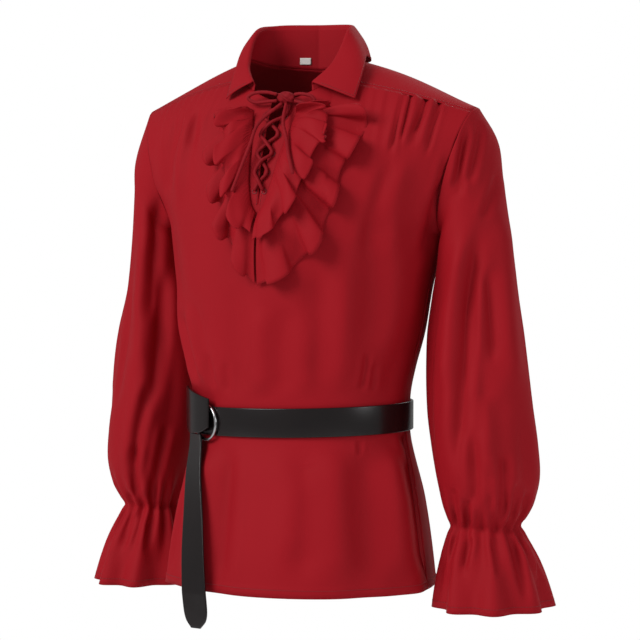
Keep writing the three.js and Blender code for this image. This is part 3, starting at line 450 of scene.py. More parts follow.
# Faces of one stitch, by its eight corners.
STITCH_FACES = ((0, 1, 3, 2), (4, 6, 7, 5), (0, 4, 5, 1), (1, 5, 7, 3), (3, 7, 6, 2), (2, 6, 4, 0))


def add_stitching(name, rows):
    """Rows of small stitches: each row is a line of points that is laid onto the cloth of its sheet."""
    corners = []
    for (points, faces), line in rows:
        tree = BVHTree.FromPolygons(points.tolist(), [list(dict.fromkeys(face)) for face in faces.tolist()])
        keys = np.cumsum([0, *np.linalg.norm(np.diff(line, axis=0), axis=1)])
        for start in np.arange(0, keys[-1] - STITCH_LENGTH, STITCH_PITCH):
            stitch = start, start + STITCH_LENGTH
            (a, normal, *_), (b, *_) = (tree.find_nearest(curve(keys, line, at).tolist()) for at in stitch)
            across = (b - a).cross(normal).normalized() * STITCH_HALF_WIDTH
            for lift in (-STITCH_HEIGHT, STITCH_HEIGHT):
                corners += [end + normal * lift + across * way for end in (a, b) for way in (-1, 1)]
    firsts = np.arange(0, len(corners), STITCH_CORNERS)[:, None, None]
    faces = (np.array(STITCH_FACES) + firsts).reshape(-1, 4)
    piece = add_mesh(name, np.array([tuple(corner) for corner in corners]), faces, RED_THREAD)
    return piece


def add_shell(name, sheet, thickness, material):
    """A closed thin shell: the sheet is its outer face, and the inner face lies one thickness behind it."""
    points, faces = sheet
    inner = points - vertex_normals(points, faces) * thickness
    return add_mesh(name, *close_shell(points, inner, faces), material)


def stand_for(piece, node):
    """The piece is shown in place of a node of the frame."""
    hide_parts(node)
    return piece


def add_cloth(node, sheet, thickness=CLOTH):
    """A piece of the red cloth in place of its node."""
    return stand_for(add_shell(f"{node}_cloth", sheet, thickness, RED_CLOTH), node)


def sheet_of(grid, closed=False, flip=False):
    rows, columns = grid.shape[:2]
    return grid.reshape(-1, 3), grid_faces(rows, columns, closed, flip)


# Creases, placed where the photo shows them


def photo_place(points, azimuth=CAMERA_AZIMUTH):
    """Where points fall in the photo, in its pixels, or in its mirror from the opposite azimuth."""
    turn, lift = np.radians(azimuth), np.radians(CAMERA_ELEVATION)
    x, y, z = np.moveaxis(points - np.array(CAMERA_TARGET), -1, 0)
    near = x * np.sin(turn) - y * np.cos(turn)
    depth = CAMERA_DISTANCE - near * np.cos(lift) - z * np.sin(lift)
    focal = PHOTO_SIZE * LENS / SENSOR
    right = focal * (x * np.cos(turn) + y * np.sin(turn)) / depth
    down = -focal * (z * np.cos(lift) - near * np.sin(lift)) / depth
    return np.stack([right, down], -1) + PHOTO_SIZE / 2


def along_line(places, line):
    """How far places are from a line of points, and the share of the line's length where they are nearest."""
    line = np.array(line, float)
    lengths = np.linalg.norm(np.diff(line, axis=0), axis=1)
    before = np.cumsum([0, *lengths[:-1]])
    nearest = np.full(len(places), np.inf)
    share = np.zeros(len(places))
    for start, end, length, passed in zip(line[:-1], line[1:], lengths, before):
        t = np.clip((places - start) @ (end - start) / length**2, 0, 1)
        gap = np.linalg.norm(places - start - t[:, None] * (end - start), axis=1)
        closer = gap < nearest
        nearest[closer] = gap[closer]
        share[closer] = (passed + t * length)[closer] / lengths.sum()
    return nearest, share


TROUGH_SHOULDER = 0.35
CREASE_ENDS = 0.22
# How squarely the cloth must face the photo, or the opposite side, for a crease to have its whole depth.
CREASE_FACING = 0.35


def crease_depth(places, creases):
    """Depth of soft creases. Each has its half breadth in pixels, its depth and its line of pixels."""
    total = np.zeros(len(places))
    for breadth, depth, *line in creases:
        gap, share = along_line(places, line)
        across = gap / breadth
        profile = np.exp(-(across**2)) - TROUGH_SHOULDER * np.exp(-((across - 2) ** 2))
        ends = step(share, 0, CREASE_ENDS) * (1 - step(share, 1 - CREASE_ENDS, 1))
        total += depth * profile * ends
    return total


# How much deeper the creases are pressed than their tables say, in the body and in the sleeves.
BODY_GAIN = 1.45
SLEEVE_GAIN = 1.8


def creased(sheet, photo_creases, rear_creases=(), keep=None, gain=BODY_GAIN):
    """Presses creases into a sheet: those seen in the photo on the side that faces it, others behind."""
    points, faces = sheet
    normals = vertex_normals(points, faces)
    total = np.zeros(len(points))
    for azimuth, creases in ((CAMERA_AZIMUTH, photo_creases), (CAMERA_AZIMUTH + 180, rear_creases)):
        turn = np.radians(azimuth)
        facing = step(normals @ np.array([np.sin(turn), -np.cos(turn), 0]), 0, CREASE_FACING)
        total += gain * crease_depth(photo_place(points, azimuth), creases) * facing
    if keep is not None:
        total *= keep(points)
    return points + normals * total[:, None], faces


# Materials


def linear(colour):
    """A colour as it is seen, from 0 to 255, as the light that the shader works with, by the sRGB formula."""
    share = np.array(colour, float) / 255
    return (*np.where(share <= 0.04045, share / 12.92, ((share + 0.055) / 1.055) ** 2.4), 1)


def add_node(tree, kind, **values):
    node = tree.nodes.new(kind)
    for name, value in values.items():
        node.inputs[name].default_value = value
    return node


PATCH_DETAIL = 2
GRAIN_DETAIL = 3


def noise(tree, coordinates, scale, detail):
    """Cloudy noise over the object, with features of about one over the scale, in metres."""
    texture = add_node(tree, "ShaderNodeTexNoise", Scale=scale, Detail=detail)
    tree.links.new(coordinates, texture.inputs["Vector"])
    return texture.outputs["Fac"]


def add_material(name, dark, light, patches, grain, **surface):
    """A surface that varies between two colours in patches, with a grain of its own fineness and height."""
    material = bpy.data.materials.new(name)
    material.use_nodes = True
    tree = material.node_tree
    shader = tree.nodes["Principled BSDF"]
    for socket, value in surface.items():
        shader.inputs[socket.replace("_", " ")].default_value = value
    coordinates = tree.nodes.new("ShaderNodeTexCoord").outputs["Object"]
    blend = tree.nodes.new("ShaderNodeMix")
    blend.data_type = "RGBA"
    blend.inputs["A"].default_value = linear(dark)
    blend.inputs["B"].default_value = linear(light)
    tree.links.new(noise(tree, coordinates, patches, PATCH_DETAIL), blend.inputs["Factor"])
    tree.links.new(blend.outputs["Result"], shader.inputs["Base Color"])
    scale, height = grain
    bump = add_node(tree, "ShaderNodeBump", Strength=1, Distance=height * MM)
    tree.links.new(noise(tree, coordinates, scale, GRAIN_DETAIL), bump.inputs["Height"])
    tree.links.new(bump.outputs["Normal"], shader.inputs["Normal"])
    return material


SHEEN = {"Sheen_Weight": 0.06, "Sheen_Tint": linear((190, 50, 58))}
# Each surface: its two colours, how fine its patches are, and the fineness and height of its grain.
RED_CLOTH = add_material(
    "red_cloth",
    (150, 13, 25),
    (160, 16, 29),
    9,
    (2600, 0.05),
    Roughness=0.72,
    Sheen_Roughness=0.4,
    Specular_IOR_Level=0.14,
    **SHEEN,
)
RED_LACE = add_material(
    "red_lace",
    (124, 13, 23),
    (146, 19, 30),
    40,
    (1500, 0.15),
    Roughness=0.7,
    Specular_IOR_Level=0.15,
    **SHEEN,
)
RED_THREAD = add_material("red_thread", (120, 12, 22), (140, 20, 30), 60, (2500, 0.1), Roughness=0.6)
BLACK_LEATHER = add_material(
    "black_leather",
    (14, 9, 10),
    (24, 16, 16),
    14,
    (900, 0.08),
    Roughness=0.26,
    Specular_IOR_Level=0.36,
    Coat_Weight=0.08,
    Coat_Roughness=0.2,
)
STEEL = add_material("steel", (165, 165, 166), (190, 190, 192), 30, (700, 0.02), Roughness=0.22, Metallic=1.0)
WHITE_LABEL = add_material("white_label", (222, 219, 214), (236, 233, 228), 60, (2200, 0.08), Roughness=0.7)
FLOOR = add_material("pale_floor", (238, 238, 238), (242, 242, 242), 1, (20, 0.02), Roughness=0.9)


# Camera, light and floor


def add_camera():
    turn, lift = np.radians(CAMERA_AZIMUTH), np.radians(CAMERA_ELEVATION)
    back = Vector((np.sin(turn) * np.cos(lift), -np.cos(turn) * np.cos(lift), np.sin(lift)))
    data = bpy.data.cameras.new("camera")
    data.lens = LENS
    data.sensor_width = SENSOR
    data.clip_end = CAMERA_REACH
    camera = add_object("camera", data)
    camera.location = (Vector(CAMERA_TARGET) + back * CAMERA_DISTANCE) * MM
    camera.rotation_euler = (-back).to_track_quat("-Z", "Y").to_euler()
    bpy.context.scene.camera = camera


def add_softbox(name, place_from, size, power):
    """A square soft light that looks at the middle of the shirt."""
    data = bpy.data.lights.new(name, "AREA")
    data.size = size
    data.energy = power
    lamp = add_object(name, data)
    lamp.location = place_from
    aim = Vector(CAMERA_TARGET) * MM - lamp.location
    lamp.rotation_euler = aim.to_track_quat("-Z", "Y").to_euler()


# The floor, in metres.
FLOOR_HEIGHT = -1.3
FLOOR_HALF_WIDTH = 2.4


def add_floor():
    ways = ((-1, -1), (1, -1), (1, 1), (-1, 1))
    corners = [(x * FLOOR_HALF_WIDTH, y * FLOOR_HALF_WIDTH, FLOOR_HEIGHT) for x, y in ways]
    mesh = bpy.data.meshes.new("floor")
    mesh.from_pydata(corners, [], [(0, 1, 2, 3)])
    mesh.materials.append(FLOOR)
    add_object("floor", mesh)


BACKGROUND_LIGHT = 1.0
ROOM_LIGHT = 0.34
# Lamps: name, place in metres, width in metres, and power in watts.
SOFTBOXES = (
    ("key", (-2.1, -3.4, 2.1), 2.4, 150),
    ("side", (3.6, -1.4, 0.6), 1.2, 30),
    ("back", (0.5, 3.5, 2.5), 2.0, 60),
)


def add_studio():
    """A white background, a dimmer light from all round and three soft lamps."""
    world = bpy.data.worlds.new("studio")
    world.use_nodes = True
    tree = world.node_tree
    background = tree.nodes["Background"]
    background.inputs["Color"].default_value = (1, 1, 1, 1)
    seen = tree.nodes.new("ShaderNodeLightPath").outputs["Is Camera Ray"]
    strength = add_node(tree, "ShaderNodeMapRange", **{"To Min": ROOM_LIGHT, "To Max": BACKGROUND_LIGHT})
    tree.links.new(seen, strength.inputs["Value"])
    tree.links.new(strength.outputs["Result"], background.inputs["Strength"])
    bpy.context.scene.world = world
    bpy.context.scene.view_settings.view_transform = "Standard"
    for lamp in SOFTBOXES:
        add_softbox(*lamp)


add_camera()
add_studio()
add_floor()


# Front, back and yoke

HEM_FOLD = 12
HEM_SWELL = 0.5
ABOVE_HEM = 18
FRONT_COLUMNS = 84
BACK_COLUMNS = 60
LOWER_ROWS = 122
CHEST_ROWS = 50
BLADE_ROWS = 30
YOKE_COLUMNS = 64
YOKE_ROWS = 24

# Gathers below the yoke: place along the seam, half breadth, reach down the panel, and depth.
FRONT_GATHERS = (
    (0.45, 0.012, 0.35, 1.6),
    (0.5, 0.014, 0.55, 2.4),
    (0.55, 0.011, 0.4, 2.0),
    (0.6, 0.014, 0.6, 2.8),
    (0.655, 0.012, 0.45, 2.2),
    (0.71, 0.015, 0.62, 2.8),
    (0.765, 0.012, 0.4, 2.0),
    (0.82, 0.014, 0.5, 2.4),
    (0.875, 0.012, 0.35, 1.6),
)
BACK_GATHERS = (
    (0.12, 0.018, 0.6, 2.4),
    (0.21, 0.016, 0.45, 2.0),
    (0.3, 0.02, 0.7, 2.8),
    (0.4, 0.016, 0.5, 2.2),
    (0.5, 0.02, 0.65, 2.8),
    (0.6, 0.017, 0.45, 2.2),
    (0.71, 0.02, 0.55, 2.4),
)

# Creases of the body as the photo shows them: half breadth in pixels, depth, and line of pixels.
BODY_CREASES = (
    (3, -2.2, (368, 352), (366, 370), (361, 392)),
    (3, -1.6, (376, 362), (372, 392)),
    (2.5, -1.8, (359, 437), (360, 455)),
    (5, -4, (400, 424), (408, 442), (419, 462)),
    (5, -3.5, (178, 310), (186, 350), (196, 384)),
    (4, 3, (186, 300), (200, 360), (206, 388)),
    (3, -1.5, (206, 352), (216, 390)),
    (3, -1.5, (224, 362), (228, 394)),
    (14, 3, (345, 230), (343, 330), (341, 396)),
    (12, -2.5, (318, 262), (320, 330), (316, 398)),
    (14, -2.5, (372, 200), (378, 280), (372, 350)),
    (12, 2.5, (397, 210), (394, 300), (387, 370)),
    (12, -2, (285, 300), (283, 360), (284, 400)),
    (12, 2, (262, 305), (258, 360), (262, 400)),
    (12, -2.5, (232, 280), (236, 340), (240, 398)),
    (10, 4, (212, 440), (198, 500), (188, 585)),
    (8, -4, (198, 440), (180, 490), (172, 580)),
    (7, -3, (230, 440), (226, 500), (220, 590)),
    (12, -2.5, (300, 440), (305, 500), (300, 592)),
    (14, 3, (335, 440), (338, 510), (340, 588)),
    (12, -3, (362, 445), (368, 510), (372, 587)),
    (10, 3, (388, 440), (396, 500), (402, 585)),
    (8, -3, (404, 440), (418, 500), (426, 580)),
    (1.5, -0.8, (293, 466), (306, 467), (319, 468)),
    (6, -2, (391, 157), (372, 215), (365, 260)),
    (8, 2, (407, 150), (392, 220), (385, 270)),
    (4, -2.5, (449, 150), (440, 190), (430, 240)),
    (5, -3, (444, 176), (432, 212), (424, 262)),
    (5, -2.5, (182, 112), (170, 152), (166, 200)),
    (5, 2, (192, 108), (180, 160), (178, 214)),
    (6, -3, (160, 190), (172, 250), (180, 305)),
    (4, -2, (198, 107), (190, 150)),
    (2.4, -3.4, (408, 84), (400, 112), (389, 156)),
    (2.2, -2.8, (414, 84), (408, 108), (400, 144)),
    (2.4, -3.0, (430, 86), (424, 110), (412, 136)),
    (2.2, -2.6, (443, 88), (438, 112), (425, 158)),
    (3, 2.4, (419, 84), (414, 108), (402, 150)),
    (3, 2.2, (436, 86), (430, 112), (418, 150)),
)
BODY_REAR_CREASES = (
    (12, 3, (300, 190), (298, 280), (304, 392)),
    (9, -3.5, (322, 230), (326, 310), (322, 396)),
    (12, 3, (356, 200), (352, 300), (350, 396)),
    (8, -3, (378, 240), (374, 320), (372, 396)),
    (10, 3, (404, 220), (398, 300), (390, 390)),
    (6, -3, (270, 250), (276, 320), (282, 390)),
    (4, -2, (250, 330), (258, 388)),
    (4, -2, (340, 350), (338, 398)),
    (4, -2, (422, 330), (410, 388)),
    (10, -4, (262, 438), (254, 500), (246, 588)),
    (12, 4, (292, 438), (288, 510), (284, 590)),
    (9, -3.5, (318, 438), (318, 500), (316, 592)),
    (12, 4, (350, 438), (354, 510), (358, 592)),
    (9, -4, (380, 438), (388, 500), (394, 590)),
    (11, 3, (408, 438), (420, 500), (430, 586)),
    (7, -3, (432, 440), (448, 500), (460, 578)),
)


def gather_depth(gathers, u, v):
    """Gathers are deepest at the seam that holds them and die out below it."""
    total = 0
    for middle, breadth, reach, depth in gathers:
        total = total + depth * np.exp(-(((u - middle) / breadth) ** 2)) * step(v, 1 - reach, 1)
    return total


# Distances inside and beyond the belt's edge between which creases fade in.
BELT_FADE = (3, 12)


def off_belt(points):
    """Keeps creases off the cloth under the belt."""
    height = points[:, 2] - BELT_MIDDLE - BELT_TILT * points[:, 0]
    inside, beyond = BELT_FADE
    return step(np.abs(height), BELT_HALF_HEIGHT - inside, BELT_HALF_HEIGHT + beyond)


def panel_half(side, back, columns, upper_rows, gathers):
    """Half of the front or the back, from the hem to the underarm and on to its top seam."""
    fold = HEM + HEM_FOLD + np.array([-1, 1])
    heights = np.concatenate([[HEM], fold, np.linspace(HEM + ABOVE_HEM, UNDERARM, LOWER_ROWS)])
    u, z = np.meshgrid(np.linspace(0, 1, columns + 1), heights)
    angle = 180 - u * 90 if back else u * 90
    lower = body_point(side * angle, z, HEM_SWELL * (z < HEM + HEM_FOLD))
    u, v = np.meshgrid(np.linspace(0, 1, columns + 1), np.linspace(0, 1, upper_rows + 1)[1:])
    upper = (shoulder_blade_point if back else chest_point)(side, u, v)
    outward = unit(place(upper[..., 0] / ARMHOLE_MIDDLE[0], upper[..., 1] / BACK_YOKE[0], 0))
    return np.concatenate([lower, upper + outward * gather_depth(gathers, u, v)[..., None]])


def panel_sheet(back, *sizes):
    """The front or the back: its two halves, joined at the centre."""
    halves = [sheet_of(panel_half(side, back, *sizes), flip=back == (side > 0)) for side in (1, -1)]
    return join_sheets(halves)


def yoke_sheet():
    shares = np.linspace(-1, 1, 2 * YOKE_COLUMNS + 1)
    share, run = np.meshgrid(shares, np.linspace(0, 1, YOKE_ROWS + 1))
    side = np.where(share < 0, -1, 1)
    return sheet_of(yoke_point(side, np.abs(share), run))


# Stitching: how far in from a hem or a seam it runs, by height or by share of the piece.
HEM_STITCH = HEM + HEM_FOLD - 1.5
FRONT_SEAM_STITCH = 0.975
BACK_SEAM_STITCH = 0.98
SLIT_STITCH = 2.5
SLIT_STITCH_TOP = -50
HEM_STITCH_ANGLE = 88
SEAM_STITCH_RUN = (0.03, 0.97)
LINE_STEPS = 160


def add_body():
    front = panel_sheet(False, FRONT_COLUMNS, CHEST_ROWS, FRONT_GATHERS)
    front = creased(front, BODY_CREASES, keep=off_belt)
    back = panel_sheet(True, BACK_COLUMNS, BLADE_ROWS, BACK_GATHERS)
    back = creased(back, (), BODY_REAR_CREASES, keep=off_belt)
    yoke = yoke_sheet()
    for node, sheet in (("front", front), ("back", back), ("yoke", yoke)):
        add_cloth(node, sheet)
    hem_angle = np.linspace(-HEM_STITCH_ANGLE, HEM_STITCH_ANGLE, LINE_STEPS)
    run = np.linspace(*SEAM_STITCH_RUN, LINE_STEPS)
    slit = np.linspace(SLIT_FOOT, SLIT_STITCH_TOP, LINE_STEPS)
    beside = slit_half_gap(slit) + SLIT_STITCH
    slit_rows = [(front, off_front(side * beside, slit, 0)) for side in (1, -1)]
    front_hem = add_stitching("front_stitching", [(front, body_point(hem_angle, HEM_STITCH)), *slit_rows])
    back_hem = add_stitching("back_stitching", [(back, body_point(180 + hem_angle, HEM_STITCH))])
    share = np.linspace(-1, 1, 2 * LINE_STEPS) * BACK_SEAM_SHARE * FRONT_SEAM_STITCH
    back_seam = yoke_point(np.where(share < 0, -1, 1), np.abs(share), BACK_SEAM_STITCH)
    front_seams = [(yoke, yoke_point(side, FRONT_SEAM_STITCH, run)) for side in (1, -1)]
    yoke_seams = add_stitching("yoke_stitching", [(yoke, back_seam), *front_seams])


# Sleeves

SLEEVE_COLUMNS = 176
SLEEVE_ROWS = 170

LEFT_SLEEVE_CREASES = (
    (7, -5, (480, 215), (467, 315), (461, 400), (454, 483)),
    (6, -3.5, (488, 264), (491, 315), (494, 366)),
    (5, -3, (472, 428), (475, 486), (470, 516)),
    (5, -3, (504, 450), (505, 495), (504, 522)),
    (9, 4, (462, 230), (450, 320), (445, 400)),
    (9, 4, (500, 200), (507, 300), (515, 400)),
    (8, 3, (485, 390), (490, 480)),
    (4, -2.5, (470, 122), (462, 160), (458, 200)),
    (4, -2.5, (481, 120), (476, 150), (468, 188)),
    (3, -2, (465, 132), (459, 165), (452, 192)),
    (4, -2, (500, 170), (490, 200), (482, 222)),
    (3, -2, (452, 486), (458, 528)),
    (3, -2, (466, 498), (468, 529)),
    (3, -1.8, (490, 492), (492, 530)),
    (3, -2, (517, 480), (512, 527)),
    (3, -2, (529, 490), (517, 526)),
    (3, -2.5, (456, 533), (446, 568)),
    (3, -2.5, (471, 535), (462, 572)),
    (3, -2, (492, 535), (500, 578)),
    (4, -3, (511, 535), (528, 604)),
    (4, 2.5, (519, 535), (548, 592)),
    (3, -2, (442, 552), (437, 604)),
)
RIGHT_SLEEVE_CREASES = (
    (6, -4, (160, 190), (152, 260), (148, 330)),
    (7, 3.5, (150, 215), (143, 300), (138, 380)),
    (6, -3.5, (165, 260), (160, 340), (150, 420)),
    (5, -3, (150, 380), (138, 430), (132, 472)),
    (4, -2.5, (168, 420), (158, 470), (150, 507)),
    (4, -2.5, (135, 440), (134, 475), (136, 503)),
    (3, -2.5, (136, 512), (122, 548)),
    (3, -2, (151, 515), (146, 552)),
    (3, -2, (127, 507), (108, 542)),
)
SLEEVE_REAR_CREASES = (
    (8, -5, (170, 220), (176, 320), (182, 480)),
    (7, 4, (190, 230), (200, 330), (204, 470)),
    (5, -3, (160, 300), (158, 400), (166, 500)),
    (3, -2, (176, 480), (180, 520)),
    (8, -5, (506, 220), (514, 320), (520, 470)),
    (7, 4, (528, 240), (534, 330), (536, 450)),
    (5, -3, (546, 300), (552, 400), (546, 490)),
    (3, -2, (530, 470), (528, 510)),
)
# Unevenness of the wrist's gathers round the wrist, as a share of a turn.
GATHER_STRAY = 0.006
GATHER_STRAY_TURNS = 3


def wrist_wave(share, z):
    """Gathers stand on the elastic line, run up the sleeve and open below into the flutes of the frill."""
    stray = GATHER_STRAY * np.sin(2 * np.pi * GATHER_STRAY_TURNS * share)
    gather = GATHER_DEPTH * np.cos(WRIST_GATHERS * 2 * np.pi * (share + stray))
    flute = FLUTE_DEPTH * np.cos(FLUTES * 2 * np.pi * share)
    up = 1 - step(z - ELASTIC, *GATHER_REACH)
    down = step(ELASTIC - z, *FLUTE_REACH)
    return np.where(z >= ELASTIC, gather * up, mix(gather, flute, down))


def sleeve_sheet(side):
    share = np.arange(SLEEVE_COLUMNS) / SLEEVE_COLUMNS
    angle = ARMHOLE_FRONT_SEAM + 360 * share
    keys = np.append(0, SLEEVE["run"])
    tilt, z = np.radians(SLEEVE["tilt"])[:, None], SLEEVE["z"][:, None]
    passed = step(SLEEVE["run"], 0, RIGHT_ARM_STRAIGHT)[:, None] if side < 0 else 0
    drawn_in = mix(RIGHT_SHOULDER_IN, RIGHT_WRIST_IN, passed) / 2 if side < 0 else 0
    across = (SLEEVE["wide"][:, None] - drawn_in) * np.cos(np.radians(angle)) - drawn_in
    ahead = SLEEVE["deep"][:, None] * np.sin(np.radians(angle)) - RIGHT_WRIST_BACK * passed
    x = SLEEVE["x"][:, None] + across * np.cos(tilt)
    rings = place(side * x, SLEEVE["y"][:, None] - ahead, z + across * np.sin(tilt))
    rings = np.concatenate([armhole_point(side, angle)[None], rings])
    runs = np.linspace(0, 1, SLEEVE_ROWS + 1)
    grid = curve(keys, rings, runs)
    height = np.repeat(curve(SLEEVE["run"], SLEEVE["z"], runs)[:, None], SLEEVE_COLUMNS, 1)
    turn = angle if side > 0 else angle + FOLD_SHIFT_RIGHT
    swell = fold_depth(SLEEVE_FOLDS, turn, height) * step(runs, *SLEEVE_FOLD_START)[:, None]
    swell = swell + wrist_wave(share, height)
    outward = place(side * np.cos(np.radians(angle)), -np.sin(np.radians(angle)), 0)
    return sheet_of(grid + outward * swell[..., None], closed=True, flip=side < 0)


def add_sleeves():
    sides = ("sleeve_left", 1, LEFT_SLEEVE_CREASES), ("sleeve_right", -1, RIGHT_SLEEVE_CREASES)
    for node, side, creases in sides:
        sheet = creased(sleeve_sheet(side), creases, SLEEVE_REAR_CREASES, gain=SLEEVE_GAIN)
        piece = add_cloth(node, sheet)
        rings = sheet[0].reshape(SLEEVE_ROWS + 1, SLEEVE_COLUMNS, 3)
        hem = add_stitching(f"{node}_stitching", [(sheet, np.concatenate([rings[-2], rings[-2, :1]]))])


# Collar

COLLAR_COLUMNS = 150
STAND_ROWS = 14
LEAF_ROWS = 26
ROLL_ROWS = 6
# The row of the leaf, counted from its fold, where the stitching of its front edges begins.
LEAF_STITCH_ROW = 8
# The leaf's roll over the top of the stand, outwards and up from the fold line, and the leaf's fullness.
LEAF_ROLL = ((0, -0.9, -1.5), (0.015, 0.3, 2.2), (0.03, 2.6, 3.6), (0.05, 5, 2.5))
LEAF_SHARES = (0.2, 0.45, 0.7, 1)
LEAF_OUT = 5
LEAF_UP = 2.5
LEAF_FULLNESS = 4


def away_from_neck(angle):
    return place(np.sin(np.radians(angle)), np.cos(np.radians(angle)), 0)


def fold_line_point(angle):
    turn = np.abs(angle)
    lean = away_from_neck(angle) * read(COLLAR, "lean", turn)[..., None]
    return neck_point(angle) + lean + place(0, 0, read(COLLAR, "rise", turn))


def leaf_grid(rows, columns):
    angle = np.linspace(-COLLAR_FRONT_ANGLE, COLLAR_FRONT_ANGLE, columns + 1)
    turn = np.abs(angle)
    outward = away_from_neck(angle)
    top = fold_line_point(angle)
    reach = np.where(angle > 0, read(COLLAR, "left_x", turn), -read(COLLAR, "right_x", turn))
    edge = place(reach, read(COLLAR, "edge_y", turn), read(COLLAR, "edge_z", turn))
    keys = np.array([row[0] for row in LEAF_ROLL] + list(LEAF_SHARES))
    lines = [top + outward * out + place(0, 0, up) for _, out, up in LEAF_ROLL]
    start = top + outward * LEAF_OUT + place(0, 0, LEAF_UP)
    lines += [mix(start, edge, t) + outward * LEAF_FULLNESS * np.sin(np.pi * t) for t in LEAF_SHARES]
    roll_end = LEAF_ROLL[-1][0]
    rest = np.linspace(roll_end, 1, rows - ROLL_ROWS + 1)
    shares = np.concatenate([np.linspace(0, roll_end, ROLL_ROWS + 1), rest[1:]])
    return curve(keys, np.stack(lines), shares)


def add_collar():
    angle = np.linspace(-COLLAR_FRONT_ANGLE, COLLAR_FRONT_ANGLE, COLLAR_COLUMNS + 1)
    share = np.linspace(0, 1, STAND_ROWS + 1)[:, None, None]
    stand = sheet_of(mix(neck_point(angle)[None], fold_line_point(angle)[None], share), flip=True)
    add_cloth("collar_stand", stand)
    grid = leaf_grid(LEAF_ROWS, COLLAR_COLUMNS)
    leaf = sheet_of(grid)
    piece = add_cloth("collar_leaf", leaf)
    down = grid[LEAF_STITCH_ROW:-1]
    edge = np.concatenate([down[:, 1], down[-1, 1:-1], down[::-1, -2]])
    stitching = add_stitching("collar_stitching", [(leaf, edge)])


# What lies on the front

NEWTON_TURNS = 12
NEWTON_STEP = 0.01
BELOW_UNDERARM = -285
# How far the front's surface is kept from the slit's edge.
BESIDE_SLIT = 0.5


def front_at(x, z):
    """The front's surface at places seen from straight ahead, with its outward normals."""
    x, z = np.broadcast_arrays(np.asarray(x, float), z)
    side = np.where(x < 0, -1, 1)
    target = side * np.maximum(np.abs(x), slit_half_gap(z) + BESIDE_SLIT)
    top = front_centre(1, np.ones(1))[0, 2]
    u = np.abs(target) / ARMHOLE_MIDDLE[0]
    v = (z - UNDERARM) / (top - UNDERARM)

    def surface(a, b):
        below = body_point(side * a * 90, mix(UNDERARM, BELOW_UNDERARM, np.maximum(-b, 0)))
        return np.where((b < 0)[..., None], below, chest_point(side, a, np.maximum(b, 0)))

    for _ in range(NEWTON_TURNS):
        point = surface(u, v)
        du = (surface(u + NEWTON_STEP, v) - point) / NEWTON_STEP
        dv = (surface(u, v + NEWTON_STEP) - point) / NEWTON_STEP
        miss_x, miss_z = target - point[..., 0], z - point[..., 2]
        area = du[..., 0] * dv[..., 2] - du[..., 2] * dv[..., 0]
        u = u + (miss_x * dv[..., 2] - miss_z * dv[..., 0]) / area
        v = v + (du[..., 0] * miss_z - du[..., 2] * miss_x) / area
    point = surface(u, v)
    ways = surface(u + NEWTON_STEP, v) - point, surface(u, v + NEWTON_STEP) - point
    normal = np.cross(*ways) * side[..., None]
    in_slit = np.abs(x) < np.abs(target)
    point[..., 0] = x
    normal[..., 0] = np.where(in_slit, 0, normal[..., 0])
    return point, unit(normal)


def off_front(x, z, out):
    point, normal = front_at(x, z)
    return point + normal * np.asarray(out, float)[..., None]


# Ruffles: where each strip is sewn on, across and up, the mean line of its free hem, and the lobes of the hem
# by their place along it and their height.
OUTER_SEWN = ((34, -54), (28, -82), (23, -115), (18, -150), (12, -180), (6, -194), (1.5, -198))
INNER_SEWN = ((31, -58), (26, -84), (21, -114), (16, -146), (10, -174), (2, -186))
OUTER = {"sewn": OUTER_SEWN, "lift": 0.8, "rise": 12}
INNER = {"sewn": INNER_SEWN, "lift": 1.9, "rise": 24}
RUFFLES = {
    "ruffle_left_outer": {
        **OUTER,
        "side": 1,
        "hem": (
            (46, -52), (84, -53), (118, -60), (130, -76), (121, -94), (112, -114), (104, -138), (97, -168),
            (89, -200), (76, -230), (52, -255), (26, -271), (1.5, -279),
        ),
        "lobes": ((0.05, 6), (0.2, 11), (0.36, 8), (0.54, 11), (0.72, 9), (0.9, 8)),
    },
    "ruffle_left_inner": {
        **INNER,
        "side": 1,
        "hem": (
            (40, -60), (64, -61), (80, -72), (78, -92), (70, -116), (62, -140), (54, -166), (42, -188),
            (26, -206), (10, -216), (1.5, -219),
        ),
        "lobes": ((0.08, 5), (0.3, 8), (0.5, 6), (0.7, 8), (0.9, 7)),
    },
    "ruffle_right_outer": {
        **OUTER,
        "side": -1,
        "hem": (
            (44, -54), (65, -62), (79, -82), (77, -104), (69, -128), (62, -160), (54, -190), (42, -218),
            (26, -246), (12, -267), (1.5, -277),
        ),
        "lobes": ((0.1, 7), (0.32, 11), (0.5, 8), (0.68, 10), (0.88, 8)),
    },
    "ruffle_right_inner": {
        **INNER,
        "side": -1,
        "hem": (
            (40, -61), (54, -70), (60, -87), (55, -108), (48, -130), (41, -152), (34, -174), (24, -192),
            (12, -205), (1.5, -211),
        ),
        "lobes": ((0.12, 5), (0.4, 8), (0.62, 6), (0.85, 7)),
    },
}
LOBE_OVERHANG = 4.5
LOBE_REACH = 4
# How far the pleats lean down from their seam to the hem, and how they bow on the way.
PLEAT_LEAN = 1.9
PLEAT_BOW = 4
PLEAT_BOWS = 2.3
# Soft dents across the pleats: turns along the hem and across the strip, start of the turn, and depth.
RUFFLE_DENTS = ((3.3, 0.9, 0.4, 2.2), (5.7, -1.3, 1.9, 1.6), (9.1, 0.7, 3.1, 0.9))
RUFFLE_COLUMNS = 230
RUFFLE_ROWS = 20
SEWN_GATHERS = 46
SEWN_GATHER_DEPTH = 0.9
SEWN_GATHER_REACH = 0.35
SEWN_GATHER_START = 0.08
RUFFLE_FULLNESS = 3
# Share of the hem at each end over which it lies still, how the lobes grow, and how the dents fade along it.
RUFFLE_END = 0.04
LOBE_GROWTH = 1.3
DENT_FADE = 8
QUARTER_TURN = 0.25


